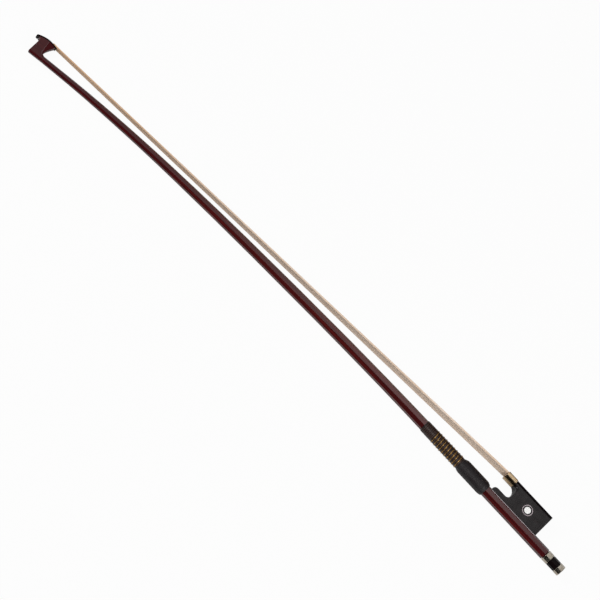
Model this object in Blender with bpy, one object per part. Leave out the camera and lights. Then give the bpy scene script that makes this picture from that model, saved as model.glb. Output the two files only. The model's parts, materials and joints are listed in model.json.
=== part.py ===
# Violin bow for a small child, about an eighth of full size.
# A cambered octagonal stick ends in a carved head. A frog slides along its other end, drawn back by a
# screw that the octagonal button turns, and stretches a ribbon of hair between the frog and the head.
#
# Until the last step the parts stand in the bow's own frame: X runs along the screw's axis, with the
# head at -X and the button at +X, Y = Z = 0 is that axis and X = 0 the rear end of the stick.
# +Y points from the stick to the hair, and Z runs across the bow, which lies on its side.

import math

import bmesh
import bpy
from mathutils import Matrix, Vector

# Fits
SEAT_GAP = 0.00015
RUNNING_GAP = 0.0002
END_GAP = 0.0003
INLAY_GAP = 0.0001

# How far cutting tools reach past what they cut, and the closest two points may be and still differ
CUT_OVERRUN = 0.001
FLUSH = 0.000001

# Stick
STICK_LENGTH = 0.4681
HEAD_DROP = 0.0216
BUTT_FLATS = 0.0075
TIP_FLATS = 0.0039
END_CHAMFER = 0.0003
NIPPLE_RADIUS = 0.0021
NIPPLE_LENGTH = 0.0024
# Camber: share of the length from the rear end, share of the drop at the head
CAMBER = ((0.245, 0.0), (0.385, 0.039), (0.534, 0.1435), (0.684, 0.296), (0.812, 0.493),
          (0.919, 0.743), (1.0, 1.0))
# Taper: share of the length from the rear end, share of the butt's extra thickness over the tip
TAPER = ((0.135, 1.0), (0.267, 0.885), (0.438, 0.78), (0.598, 0.64), (0.705, 0.52), (0.78, 0.39),
         (0.865, 0.24), (0.94, 0.08), (1.0, 0.0))
CURVED_RINGS = 34

# Head from the side: lengths forward of the throat along the tip, heights over the stick's axis there
HEAD_STUB = 0.0036
HEAD_HEIGHT = 0.01275
HEAD_FRONT = 0.0082
HEAD_HEEL = 0.0053
HEEL_FALL = 0.0006
HEEL_FACET = 0.0058
HEEL_FACET_INSET = 0.0013
HEEL_FACET_FADE = 0.0020
CROWN_FORWARD = 0.0015
FRONT_LEAN = 0.0012
FRONT_FACE_HEIGHT = 0.0089
BEAK_TIP = 0.0104
BEAK_FALL = 0.0014
BEAK_ROUND = 0.0004
BEAK_WOOD_END = 0.0083
BEAK_UNDERSIDE = 0.0102
NOSE_ROUND = 0.0012
NOSE_DROP = 0.0003
THROAT_FOOT = 0.0007
THROAT_FOOT_HEIGHT = 0.0030
THROAT_HOLLOW_BACK = 0.00105
THROAT_HOLLOW_HEIGHT = 0.0066
THROAT_FILLET = 0.0017
HEAD_WIDTH = 0.0066
BEAK_WIDTH = 0.0036
HEAD_BEVEL = 0.00035
CHEEK_HOLLOW = 1.5
THROAT_STEPS = 5
FACE_STEPS = 7
TIP_PLATE_THICKNESS = 0.0008
HEAD_MORTISE_WALL = 0.0034
HEAD_MORTISE_LENGTH = 0.0048
HEAD_MORTISE_WIDTH = 0.0044
HEAD_MORTISE_NARROWING = 0.0006
HEAD_MORTISE_FLOOR = 0.0066
HEAD_MORTISE_SLANT = 0.0030

# Screw and button
SCREW_RADIUS = 0.0012
PILOT_RADIUS = 0.0009
PILOT_LENGTH = 0.0080
SCREW_TANG = 0.0108
BUTTON_FLATS = 0.0074
BUTTON_STEP = 0.0001
BUTTON_FRONT_RING = 0.0049
BUTTON_MIDDLE = 0.0061
BUTTON_REAR_RING = 0.0043
RING_BORE_RADIUS = 0.00295
BUTTON_SOCKET_RADIUS = 0.0024
BUTTON_SOCKET_DEPTH = 0.0030
BUTTON_CHAMFER = 0.0003

# Frog
HEEL_SETBACK = 0.0137
FROG_LENGTH = 0.0418
TONGUE_OVERHANG = 0.0004
FROG_HEIGHT = 0.0207
FROG_RIM = 0.0023
FROG_RIM_WIDTH = 0.0087
FROG_BASE_WIDTH = 0.0094
TONGUE_HEIGHT = 0.0060
TONGUE_NOSE = 0.0028
THROAT_DEPTH = 0.0126
THROAT_ROUND = 0.0034
THROAT_ROOF_OVER_ARCH = 0.0001
NECK_LENGTH = 0.0050
NECK_FLAT = 0.0012
NECK_STEPS = 5
FROG_BEVEL = 0.0004
UNDERSLIDE_THICKNESS = 0.00045
UNDERSLIDE_PROUD = 0.0003
SLIDE_TIGHTEN = 0.0040
SLIDE_LOOSEN = 0.0016

# Ferrule and what it holds
FERRULE_LENGTH = 0.0081
FERRULE_WIDTH = 0.0098
FERRULE_HEIGHT = 0.0046
FERRULE_PROUD = 0.0002
FERRULE_WALL = 0.00045
FERRULE_CORNER = 0.0009
FERRULE_SHOULDER = 0.0018
TENON_SETBACK = 0.0004
WEDGE_LENGTH = 0.0037
WEDGE_WIDTH = 0.0084
WEDGE_BEHIND_FRONT = 0.0046

# Eyelet, forward of the heel
EYELET_PLACE = 0.0194
EYELET_LENGTH = 0.0044
EYELET_WIDTH = 0.0040
EYELET_TOP = 0.0031
EYELET_DEPTH = 0.0022
EYELET_SHANK_RADIUS = 0.0012
EYELET_SHANK_REACH = 0.0092

# Eyes on both sides of the frog
EYE_FORWARD_OF_HEEL = 0.0154
EYE_HEIGHT = 0.0106
EYE_RING_RADIUS = 0.0039
EYE_RING_WIDTH = 0.00065
EYE_PEARL_RADIUS = 0.0024
INLAY_DEPTH = 0.0008

# Slide in the base of the frog
SLIDE_FORWARD_OF_HEEL = 0.0030
SLIDE_WIDTH = 0.0066
SLIDE_DOVETAIL = 0.0004
PEARL_THICKNESS = 0.0009
SLIDE_BASE_THICKNESS = 0.0009

# Hair and what holds it
HAIR_WIDTH_AT_HEAD = 0.0039
HAIR_WIDTH_AT_FROG = 0.0084
HAIR_WIDTH_IN_CHANNEL = 0.0058
HAIR_WIDTH_PACKED = 0.0030
HAIR_THICKNESS_AT_HEAD = 0.0009
HAIR_THICKNESS_AT_FROG = 0.0013
HAIR_THICKNESS_PACKED = 0.0006
HAIR_FREE_RINGS = 10
FROG_MORTISE_BEHIND_THROAT = 0.0013
FROG_MORTISE_LENGTH = 0.0062
FROG_MORTISE_WIDTH = 0.0050
FROG_MORTISE_DEPTH = 0.0040
KNOT_RADIUS = 0.0008
HEAD_KNOT_HEIGHT = 0.0076
HEAD_KNOT_WIDTH = 0.0029
FROG_KNOT_WIDTH = 0.0042

# Grip: the leather stops short of where the frog's tongue gets to when the hair is loosest
LEATHER_CLEARANCE = 0.0005
LEATHER_LENGTH = 0.0239
LEATHER_THICKNESS = 0.00125
LEATHER_LIP = 0.0004
LEATHER_ROUND = 0.0036
LEATHER_SEAM_SWELL = 0.0004
WINDING_LENGTH = 0.0350
WINDING_THICKNESS = 0.0004
TINSEL_SETBACK = 0.0090
TINSEL_PITCH = 0.00246
TINSEL_WIDTH = 0.0005
TINSEL_THICKNESS = 0.0002

# Underslide pins
PIN_RADIUS = 0.00045
PIN_LENGTH = 0.0028
PIN_BEHIND_THROAT = 0.0030
PIN_FORWARD_OF_HEEL = 0.0040

# How far the grip's layers are rounded from the stick's octagon (0) towards a circle (1)
LIP_ROUNDING = 0.3
LEATHER_ROUNDING = 0.8
WINDING_ROUNDING = 0.35

# Segments in a full circle, and the angle in degrees under which neighbouring faces look smooth
ROUND = 32
SMOOTH_BELOW = 20.0
HALF_FACET = math.pi / 8
FACET_SHARE = math.tan(HALF_FACET)

# Places worked out from the sizes
HEEL_X = -HEEL_SETBACK
FROG_FRONT_X = HEEL_X - FROG_LENGTH
TONGUE_FRONT_X = FROG_FRONT_X - TONGUE_OVERHANG
THROAT_X = TONGUE_FRONT_X + THROAT_DEPTH
FERRULE_REAR_X = FROG_FRONT_X + FERRULE_LENGTH
NECK_REAR_X = FERRULE_REAR_X + NECK_LENGTH
FERRULE_FLAT_Y = FROG_HEIGHT + FERRULE_PROUD
THROAT_TOP = FERRULE_FLAT_Y - FERRULE_HEIGHT - THROAT_ROOF_OVER_ARCH
THROAT_MIDDLE_Y = (THROAT_TOP + TONGUE_HEIGHT) / 2.0
FERRULE_ARCH_Y = FERRULE_FLAT_Y - FERRULE_SHOULDER
FERRULE_ARCH_DEPTH = FERRULE_HEIGHT - FERRULE_SHOULDER
HAIR_OUTSIDE_Y = FERRULE_FLAT_Y - FERRULE_WALL - SEAT_GAP
HAIR_INSIDE_Y = HAIR_OUTSIDE_Y - HAIR_THICKNESS_AT_FROG
PEARL_BACK_Y = FROG_HEIGHT - PEARL_THICKNESS
SLIDE_FRONT_Y = PEARL_BACK_Y - INLAY_GAP
SLIDE_BACK_Y = SLIDE_FRONT_Y - SLIDE_BASE_THICKNESS
CHANNEL_FLOOR_Y = SLIDE_BACK_Y - HAIR_THICKNESS_PACKED - 2.0 * SEAT_GAP
SLIDE_FRONT_X = FERRULE_REAR_X + SEAT_GAP
SLIDE_REAR_X = HEEL_X - SLIDE_FORWARD_OF_HEEL
FROG_MORTISE_X = THROAT_X + FROG_MORTISE_BEHIND_THROAT
FROG_MORTISE_REAR_X = FROG_MORTISE_X + FROG_MORTISE_LENGTH
FROG_MORTISE_FLOOR_Y = CHANNEL_FLOOR_Y - FROG_MORTISE_DEPTH
FROG_KNOT_Y = FROG_MORTISE_FLOOR_Y + SEAT_GAP + KNOT_RADIUS
WEDGE_REAR_X = FROG_FRONT_X + WEDGE_BEHIND_FRONT
LINER_INSIDE = BUTT_FLATS / 2.0 + SEAT_GAP
LINER_OUTSIDE = LINER_INSIDE + UNDERSLIDE_THICKNESS
LINER_EDGE_Y = FROG_RIM - UNDERSLIDE_PROUD
GROOVE_DEPTH = LINER_OUTSIDE + SEAT_GAP
EYELET_X = HEEL_X - EYELET_PLACE
STICK_MORTISE_FRONT_X = EYELET_X - EYELET_LENGTH / 2.0 - SLIDE_LOOSEN - END_GAP
STICK_MORTISE_REAR_X = EYELET_X + EYELET_LENGTH / 2.0 + SLIDE_TIGHTEN + END_GAP
PILOT_FRONT_X = STICK_MORTISE_FRONT_X + END_GAP - PILOT_LENGTH
BUTTON_FRONT_X = END_GAP
BUTTON_MIDDLE_X = BUTTON_FRONT_X + BUTTON_FRONT_RING
BUTTON_LAST_X = BUTTON_MIDDLE_X + BUTTON_MIDDLE
BUTTON_END_X = BUTTON_LAST_X + BUTTON_REAR_RING
LEATHER_REAR = SLIDE_LOOSEN + LEATHER_CLEARANCE - TONGUE_FRONT_X
LEATHER_FRONT = LEATHER_REAR + LEATHER_LENGTH
WINDING_REAR = LEATHER_FRONT + SEAT_GAP
WINDING_FRONT = WINDING_REAR + WINDING_LENGTH


def clear_scene():
    for old in list(bpy.data.objects):
        bpy.data.objects.remove(old, do_unlink=True)


def material(name, colour, roughness, metallic=0.0):
    made = bpy.data.materials.new(name)
    made.use_nodes = True
    shader = made.node_tree.nodes["Principled BSDF"]
    shader.inputs["Base Color"].default_value = (*colour, 1.0)
    shader.inputs["Roughness"].default_value = roughness
    shader.inputs["Metallic"].default_value = metallic
    return made


def make_materials():
    return {
        "bow_wood": material("bow_wood", (0.065, 0.018, 0.016), 0.3),
        "ebony": material("ebony", (0.020, 0.017, 0.018), 0.28),
        "black_plastic": material("black_plastic", (0.016, 0.015, 0.016), 0.4),
        "maple": material("maple", (0.55, 0.40, 0.24), 0.6),
        "nickel_silver": material("nickel_silver", (0.62, 0.59, 0.54), 0.22, 1.0),
        "brass": material("brass", (0.62, 0.44, 0.17), 0.3, 1.0),
        "steel": material("steel", (0.45, 0.45, 0.46), 0.35, 1.0),
        "pearl": material("pearl", (0.86, 0.86, 0.83), 0.2),
        "leather": material("leather", (0.022, 0.018, 0.019), 0.55),
        "winding": material("winding", (0.018, 0.008, 0.004), 0.5),
        "tinsel": material("tinsel", (0.45, 0.30, 0.10), 0.3, 1.0),
        "hair": material("hair", (0.62, 0.45, 0.30), 0.5),
        "bound_hair": material("bound_hair", (0.10, 0.06, 0.03), 0.4),
    }


def carrier(name, parent=None):
    empty = bpy.data.objects.new(name, None)
    empty.empty_display_size = 0.01
    bpy.context.scene.collection.objects.link(empty)
    empty.parent = parent
    return empty


# A piece of the bow, or a hidden cutting tool when it is given no finish
def finish_object(name, bm, parent, finish=None):
    bmesh.ops.recalc_face_normals(bm, faces=bm.faces)
    mesh = bpy.data.meshes.new(name)
    bm.to_mesh(mesh)
    bm.free()
    mesh.shade_smooth()
    mesh.set_sharp_from_angle(angle=math.radians(SMOOTH_BELOW))
    made = bpy.data.objects.new(name, mesh)
    bpy.context.scene.collection.objects.link(made)
    made.parent = parent
    if finish:
        mesh.materials.append(finish)
    else:
        made.hide_render = True
        made.display_type = "WIRE"
    return made


def boolean(target, tool, operation="DIFFERENCE"):
    step = target.modifiers.new(f"{operation.lower()} {tool.name}", "BOOLEAN")
    step.operation = operation
    step.solver = "EXACT"
    step.object = tool


def skin_rings(bm, rings):
    rows = [[bm.verts.new(point) for point in ring] for ring in rings]
    count = len(rings[0])
    for near, far in zip(rows, rows[1:]):
        for i in range(count):
            j = (i + 1) % count
            bm.faces.new((near[i], near[j], far[j], far[i]))
    return rows


def loft(bm, rings):
    rows = skin_rings(bm, rings)
    bm.faces.new(rows[0])
    bm.faces.new(rows[-1])
    return rows


def sleeve(bm, outer_rings, inner_rings):
    outer = skin_rings(bm, outer_rings)
    inner = skin_rings(bm, inner_rings)
    count = len(outer[0])
    for end in (0, -1):
        for i in range(count):
            j = (i + 1) % count
            bm.faces.new((outer[end][i], inner[end][i], inner[end][j], outer[end][j]))


def circle(x, radius):
    turns = [2.0 * math.pi * i / ROUND for i in range(ROUND)]
    return [Vector((x, radius * math.cos(turn), radius * math.sin(turn))) for turn in turns]


# Distance from the axis to an octagon's edge, with a flat towards the hair
def octagon_reach(turn, flats):
    from_flat = (turn + HALF_FACET) % (2.0 * HALF_FACET) - HALF_FACET
    return flats / 2.0 / math.cos(from_flat)


# The same distance, drawn towards a circle's by a share from 0 to 1
def wrapped_reach(turn, flats, rounding):
    return octagon_reach(turn, flats) * (1.0 - rounding) + flats / 2.0 * rounding


# A ring of such points, which may swell on the hair side
def wrapped_ring(x, flats, rounding=0.0, swell=0.0):
    ring = []
    for i in range(ROUND):
        turn = 2.0 * math.pi * i / ROUND
        reach = wrapped_reach(turn, flats, rounding) + swell * max(0.0, math.cos(turn)) ** 2
        ring.append(Vector((x, reach * math.cos(turn), reach * math.sin(turn))))
    return ring


def octagon_corners(flats):
    reach = flats / 2.0 / math.cos(HALF_FACET)
    turns = [HALF_FACET * (2 * i + 1) for i in range(8)]
    return [(reach * math.cos(turn), reach * math.sin(turn)) for turn in turns]


def octagon_prism(name, front_x, rear_x, flats, parent):
    bm = bmesh.new()
    loft(bm, [[Vector((x, y, z)) for y, z in octagon_corners(flats)] for x in (front_x, rear_x)])
    return finish_object(name, bm, parent)


def block(bm, low, high):
    size = Vector(high) - Vector(low)
    place = Matrix.Translation((Vector(high) + Vector(low)) / 2.0) @ Matrix.Diagonal((*size, 1.0))
    bmesh.ops.create_cube(bm, size=1.0, matrix=place)


def block_tool(name, low, high, parent):
    bm = bmesh.new()
    block(bm, low, high)
    return finish_object(name, bm, parent)


def rod(bm, start, end, radius, count=ROUND):
    along = Vector(end) - Vector(start)
    turn = Vector((0.0, 0.0, 1.0)).rotation_difference(along).to_matrix().to_4x4()
    place = Matrix.Translation((Vector(start) + Vector(end)) / 2.0) @ turn
    bmesh.ops.create_cone(bm, cap_ends=True, segments=count, radius1=radius, radius2=radius,
                          depth=along.length, matrix=place)


def rod_tool(name, start, end, radius, parent):
    bm = bmesh.new()
    rod(bm, start, end, radius)
    return finish_object(name, bm, parent)


def arc(centre_x, centre_y, radius, start, end, steps):
    turns = [math.radians(start + (end - start) * i / steps) for i in range(steps + 1)]
    return [(centre_x + radius * math.cos(turn), centre_y + radius * math.sin(turn)) for turn in turns]


# Points of a curve from start to end, drawn towards a pull point
def bend(start, pull, end, steps):
    points = []
    for i in range(steps + 1):
        t = i / steps
        weights = ((1.0 - t) ** 2, 2.0 * t * (1.0 - t), t ** 2)
        points.append(tuple(sum(w * p[axis] for w, p in zip(weights, (start, pull, end))) for axis in (0, 1)))
    return points


# Value and slope of a smooth curve through stations, level before the first of them
def read_curve(stations, share):
    if share <= stations[0][0]:
        return stations[0][1], 0.0
    slopes = [(b[1] - a[1]) / (b[0] - a[0]) for a, b in zip(stations, stations[1:])]
    tangents = [0.0] + [(a + b) / 2.0 for a, b in zip(slopes, slopes[1:])] + [slopes[-1]]
    span = 0
    while span < len(stations) - 2 and share > stations[span + 1][0]:
        span += 1
    (s0, v0), (s1, v1) = stations[span], stations[span + 1]
    width = s1 - s0
    t = (share - s0) / width
    m0, m1 = tangents[span] * width, tangents[span + 1] * width
    value = ((2 * t ** 3 - 3 * t ** 2 + 1) * v0 + (t ** 3 - 2 * t ** 2 + t) * m0
             + (3 * t ** 2 - 2 * t ** 3) * v1 + (t ** 3 - t ** 2) * m1)
    slope = (6 * t ** 2 - 6 * t) * (v0 - v1) + (3 * t ** 2 - 4 * t + 1) * m0 + (3 * t ** 2 - 2 * t) * m1
    return value, slope / width


def stick_flats(distance):
    share, _ = read_curve(TAPER, distance / STICK_LENGTH)
    return TIP_FLATS + (BUTT_FLATS - TIP_FLATS) * share


# Centre of the stick at a distance from its rear end, its direction to the head and its hair side
def stick_frame(distance):
    share, slope = read_curve(CAMBER, distance / STICK_LENGTH)
    centre = Vector((-distance, -HEAD_DROP * share, 0.0))
    forward = Vector((-1.0, -HEAD_DROP * slope / STICK_LENGTH, 0.0)).normalized()
    return centre, forward, Vector((forward.y, -forward.x, 0.0))


def stick_section(distance, flats):
    centre, _, hairward = stick_frame(distance)
    across = Vector((0.0, 0.0, 1.0))
    return [centre + hairward * y + across * z for y, z in octagon_corners(flats)]


# A point of the head: forward along the tip, height towards the hair, offset across
def head_point(forward_by, height, across=0.0):
    centre, forward, hairward = stick_frame(STICK_LENGTH)
    return centre + forward * forward_by + hairward * height + Vector((0.0, 0.0, across))


# The head's hair-side face: height and half width at a place along the tip
def face_height(forward_by):
    if forward_by > CROWN_FORWARD:
        run = (forward_by - CROWN_FORWARD) / (BEAK_TIP - CROWN_FORWARD)
        return HEAD_HEIGHT - BEAK_FALL * run ** 2
    run = (CROWN_FORWARD - forward_by) / (CROWN_FORWARD + HEAD_HEEL)
    return HEAD_HEIGHT - HEEL_FALL * run ** 2


# How far the facet beside the throat cuts into the head's side: most at the heel, nothing at its front
def heel_inset(forward_by):
    return HEEL_FACET_INSET * max(0.0, HEEL_FACET - HEAD_HEEL - forward_by) / HEEL_FACET


# Half width of that face: narrowing to the beak, and to the heel between the two facets
def face_half_width(forward_by):
    run = max(0.0, forward_by - CROWN_FORWARD) / (BEAK_TIP - CROWN_FORWARD)
    return HEAD_WIDTH / 2.0 - (HEAD_WIDTH - BEAK_WIDTH) / 2.0 * run ** 1.7 - heel_inset(forward_by)


def wood_face_height(forward_by):
    return face_height(forward_by) - TIP_PLATE_THICKNESS - SEAT_GAP


def throat_curve():
    heel = (-HEAD_HEEL, face_height(-HEAD_HEEL))
    hollow = (-THROAT_HOLLOW_BACK, THROAT_HOLLOW_HEIGHT)
    return bend(heel, hollow, (-THROAT_FOOT, THROAT_FOOT_HEIGHT), THROAT_STEPS)


# Outline of the wooden head from the side, from the stub under the throat round the nose and back
def head_outline():
    half = TIP_FLATS / 2.0
    nose = arc(HEAD_FRONT - NOSE_ROUND, NOSE_ROUND - NOSE_DROP - half, NOSE_ROUND, -90.0, 0.0, 3)
    front_top = (HEAD_FRONT - FRONT_LEAN, FRONT_FACE_HEIGHT)
    notch = bend(front_top, (front_top[0], BEAK_UNDERSIDE), (BEAK_WOOD_END, BEAK_UNDERSIDE), 3)
    throat = throat_curve()
    heel_height = wood_face_height(-HEAD_HEEL)
    share = (throat[0][1] - heel_height) / (throat[0][1] - throat[1][1])
    heel = throat[0][0] + (throat[1][0] - throat[0][0]) * share
    spots = [BEAK_WOOD_END + (heel - BEAK_WOOD_END) * i / FACE_STEPS for i in range(FACE_STEPS)]
    face = [(spot, wood_face_height(spot)) for spot in spots] + [(heel, heel_height)]
    crotch = bend(throat[-1], (-THROAT_FOOT, half), (-THROAT_FOOT - THROAT_FILLET, half), THROAT_STEPS)
    return [(-HEAD_STUB, -half)] + nose + notch + face + throat[1:-1] + crotch + [(-HEAD_STUB, half)]


# Half width of the wooden head at a place on its side: octagonal at the stub, widening up the cheek
def head_half_width(forward_by, height):
    half = TIP_FLATS / 2.0
    facet = half * FACET_SHARE
    if height < -facet:
        return facet + (half - facet) * max(0.0, height + half) / (half - facet)
    rise = max(0.0, height - facet)
    inset = heel_inset(forward_by)
    flare = face_half_width(forward_by) + inset - half
    cheek = half + flare * (rise / (HEAD_HEIGHT - facet)) ** CHEEK_HOLLOW
    cheek -= inset * min(1.0, rise / HEEL_FACET_FADE)
    stub = max(facet, half - rise)
    share = min(1.0, max(0.0, (-THROAT_FOOT - forward_by) / THROAT_FILLET))
    if height > THROAT_FOOT_HEIGHT - FLUSH:
        share = 0.0
    return cheek + (stub - cheek) * share


# A flat-sided body between z = -half and half, with the given side outline
def prism(bm, outline, half):
    low = [bm.verts.new((x, y, -half)) for x, y in outline]
    high = [bm.verts.new((x, y, half)) for x, y in outline]
    for i in range(len(outline)):
        j = (i + 1) % len(outline)
        bm.faces.new((low[i], low[j], high[j], high[i]))
    bm.faces.new(list(reversed(low)))
    bm.faces.new(high)
    bm.normal_update()


def is_rim(edge):
    return abs(edge.verts[0].co.z - edge.verts[1].co.z) < FLUSH


def round_rims(bm, offset, wanted):
    rims = [edge for edge in bm.edges if is_rim(edge) and wanted((edge.verts[0].co + edge.verts[1].co) / 2.0)]
    bmesh.ops.bevel(bm, geom=rims, offset=offset, offset_type="OFFSET", segments=2, profile=0.5,
                    affect="EDGES", clamp_overlap=False)


def split_at(bm, faces, point, normal):
    edges = {edge for face in faces for edge in face.edges}
    verts = {vert for face in faces for vert in face.verts}
    bmesh.ops.bisect_plane(bm, geom=[*verts, *edges, *faces], plane_co=point, plane_no=normal)


# Moves both sides of a flat-sided body out or in to a width given for each place on them
def set_widths(bm, half, width_at):
    for vert in bm.verts:
        shift = width_at(vert.co.x, vert.co.y) - half
        vert.co.z += shift * math.copysign(1.0, vert.co.z)


# The wooden head, open where the stick runs into it
def head_mesh(bm):
    half = HEAD_WIDTH / 2.0
    facet = TIP_FLATS / 2.0 * FACET_SHARE
    prism(bm, head_outline(), half)

    def on_cheek(middle):
        if middle.x > 0.0:
            return -facet < middle.y < FRONT_FACE_HEIGHT
        return THROAT_FOOT_HEIGHT < middle.y < wood_face_height(-HEAD_HEEL) - FLUSH

    round_rims(bm, HEAD_BEVEL, on_cheek)
    upper_cheek = (THROAT_HOLLOW_HEIGHT + HEAD_HEIGHT) / 2.0
    for height in (-facet, facet, THROAT_FOOT_HEIGHT, THROAT_HOLLOW_HEIGHT, upper_cheek):
        split_at(bm, bm.faces[:], (0.0, height, 0.0), (0.0, 1.0, 0.0))
    heel_facet = HEEL_FACET - HEAD_HEEL
    for forward_by in (-THROAT_FOOT - THROAT_FILLET, -THROAT_FOOT, heel_facet, CROWN_FORWARD):
        split_at(bm, bm.faces[:], (forward_by, 0.0, 0.0), (1.0, 0.0, 0.0))
    stub = [face for face in bm.faces if all(abs(vert.co.x + HEAD_STUB) < FLUSH for vert in face.verts)]
    bmesh.ops.delete(bm, geom=stub, context="FACES")
    set_widths(bm, half, head_half_width)
    bmesh.ops.triangulate(bm, faces=bm.faces)
    for vert in bm.verts:
        vert.co = head_point(*vert.co)


# Rear wall, front wall and half width of the head's mortise at a height, drawn in by a gap
def head_mortise_walls(height, gap=0.0):
    depth = (HEAD_HEIGHT - height) / (HEAD_HEIGHT - HEAD_MORTISE_FLOOR)
    rear = HEAD_MORTISE_WALL - HEAD_HEEL
    front = rear + HEAD_MORTISE_LENGTH
    half = HEAD_MORTISE_WIDTH / 2.0 - HEAD_MORTISE_NARROWING * depth
    return rear + HEAD_MORTISE_SLANT * depth + gap, front - gap, half - gap


def head_ring(height, rear, front, half):
    corners = ((rear, -half), (front, -half), (front, half), (rear, half))
    return [head_point(forward_by, height, across) for forward_by, across in corners]


def make_head_mortise(parent):
    bm = bmesh.new()
    heights = (HEAD_MORTISE_FLOOR, HEAD_HEIGHT + CUT_OVERRUN)
    loft(bm, [head_ring(height, *head_mortise_walls(height)) for height in heights])
    return finish_object("head_mortise", bm, parent)


def make_stick_mesh():
    bm = bmesh.new()
    head_mesh(bm)
    start = TAPER[0][0] * STICK_LENGTH
    reach = STICK_LENGTH - HEAD_STUB - start
    distances = [END_CHAMFER] + [start + reach * i / CURVED_RINGS for i in range(CURVED_RINGS)]
    rings = [stick_section(0.0, BUTT_FLATS - 2.0 * END_CHAMFER)]
    rings += [stick_section(distance, stick_flats(distance)) for distance in distances]
    rings.append([head_point(-HEAD_STUB, y, z) for y, z in octagon_corners(TIP_FLATS)])
    rows = skin_rings(bm, rings)
    bm.faces.new(rows[0])
    bmesh.ops.remove_doubles(bm, verts=bm.verts, dist=FLUSH)
    return bm


def make_stick(parent, finish, head_mortise):
    stick = finish_object("stick", make_stick_mesh(), parent, finish)
    nipple = rod_tool("stick_nipple", (-NIPPLE_LENGTH, 0.0, 0.0), (NIPPLE_LENGTH, 0.0, 0.0),
                      NIPPLE_RADIUS, parent)
    boolean(stick, nipple, "UNION")
    side = EYELET_WIDTH / 2.0 + RUNNING_GAP
    eyelet_slot = block_tool("stick_mortise", (STICK_MORTISE_FRONT_X, -EYELET_DEPTH - END_GAP, -side),
                             (STICK_MORTISE_REAR_X, BUTT_FLATS, side), parent)
    rear_bore = rod_tool("stick_rear_bore", (STICK_MORTISE_REAR_X - CUT_OVERRUN, 0.0, 0.0),
                         (NIPPLE_LENGTH + CUT_OVERRUN, 0.0, 0.0), SCREW_RADIUS + RUNNING_GAP, parent)
    front_bore = rod_tool("stick_front_bore", (PILOT_FRONT_X - END_GAP, 0.0, 0.0),
                          (STICK_MORTISE_FRONT_X + CUT_OVERRUN, 0.0, 0.0),
                          PILOT_RADIUS + RUNNING_GAP, parent)
    for tool in (eyelet_slot, rear_bore, front_bore, head_mortise):
        boolean(stick, tool)


# Thin cover on the head's hair-side face, dropping over the end of the wood at the beak
def make_tip_plate(parent, finish, head_mortise):
    bm = bmesh.new()
    drop = BEAK_WOOD_END + SEAT_GAP
    spots = [drop + (-HEAD_HEEL - drop) * i / FACE_STEPS for i in range(FACE_STEPS + 1)]
    spots = sorted(spots + [HEEL_FACET - HEAD_HEEL], reverse=True)
    stations = [(spot, wood_face_height(min(spot, BEAK_WOOD_END)) + SEAT_GAP, face_height(spot))
                for spot in spots]
    for spot in (drop + SEAT_GAP, BEAK_TIP - BEAK_ROUND):
        stations.insert(0, (spot, BEAK_UNDERSIDE, face_height(spot)))
    stations.insert(0, (BEAK_TIP, BEAK_UNDERSIDE + BEAK_ROUND, face_height(BEAK_TIP) - BEAK_ROUND))
    rings = []
    for spot, foot, top in stations:
        half = face_half_width(spot)
        corners = ((foot, -half), (foot, half), (top, half), (top, -half))
        rings.append([head_point(spot, height, across) for height, across in corners])
    loft(bm, rings)
    plate = finish_object("tip_plate", bm, parent, finish)
    boolean(plate, head_mortise)


def make_head_knot(parent, finish):
    bm = bmesh.new()
    rear, _, _ = head_mortise_walls(HEAD_KNOT_HEIGHT, SEAT_GAP)
    half = HEAD_KNOT_WIDTH / 2.0
    ends = [head_point(rear + KNOT_RADIUS, HEAD_KNOT_HEIGHT, across) for across in (-half, half)]
    rod(bm, *ends, KNOT_RADIUS, ROUND // 2)
    finish_object("hair_knot_head", bm, parent, finish)


def make_head_plug(parent, finish):
    bm = bmesh.new()
    rings = []
    for height in (HEAD_KNOT_HEIGHT + KNOT_RADIUS + SEAT_GAP, face_height(0.0) - SEAT_GAP):
        rear, front, half = head_mortise_walls(height, SEAT_GAP)
        rings.append(head_ring(height, rear + HAIR_THICKNESS_PACKED + SEAT_GAP, front, half))
    loft(bm, rings)
    finish_object("head_plug", bm, parent, finish)


# Middle of the hair in the head: up the mortise's rear wall, round its edge and over the face
def hair_in_head():
    packed = SEAT_GAP + HAIR_THICKNESS_PACKED / 2.0
    loose = SEAT_GAP + HAIR_THICKNESS_AT_HEAD / 2.0
    start = HEAD_KNOT_HEIGHT + KNOT_RADIUS + SEAT_GAP
    rear, _, _ = head_mortise_walls(start, packed)
    edge_x = head_mortise_walls(HEAD_HEIGHT)[0]
    edge = (edge_x, face_height(edge_x))
    points = [(rear, start)]
    points += [arc(*edge, packed + (loose - packed) * i / 2, 45.0 * i, 45.0 * i, 1)[0] for i in range(3)]
    points.append((-HEAD_HEEL, face_height(-HEAD_HEEL) + loose))
    places = [head_point(*point) for point in points]
    widths = [HAIR_WIDTH_PACKED] * 3 + [HAIR_WIDTH_AT_HEAD] * 2
    depths = [HAIR_THICKNESS_PACKED] * 2 + [HAIR_THICKNESS_AT_HEAD] * 3
    return [(place.x, place.y, width, depth) for place, width, depth in zip(places, widths, depths)]


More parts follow.
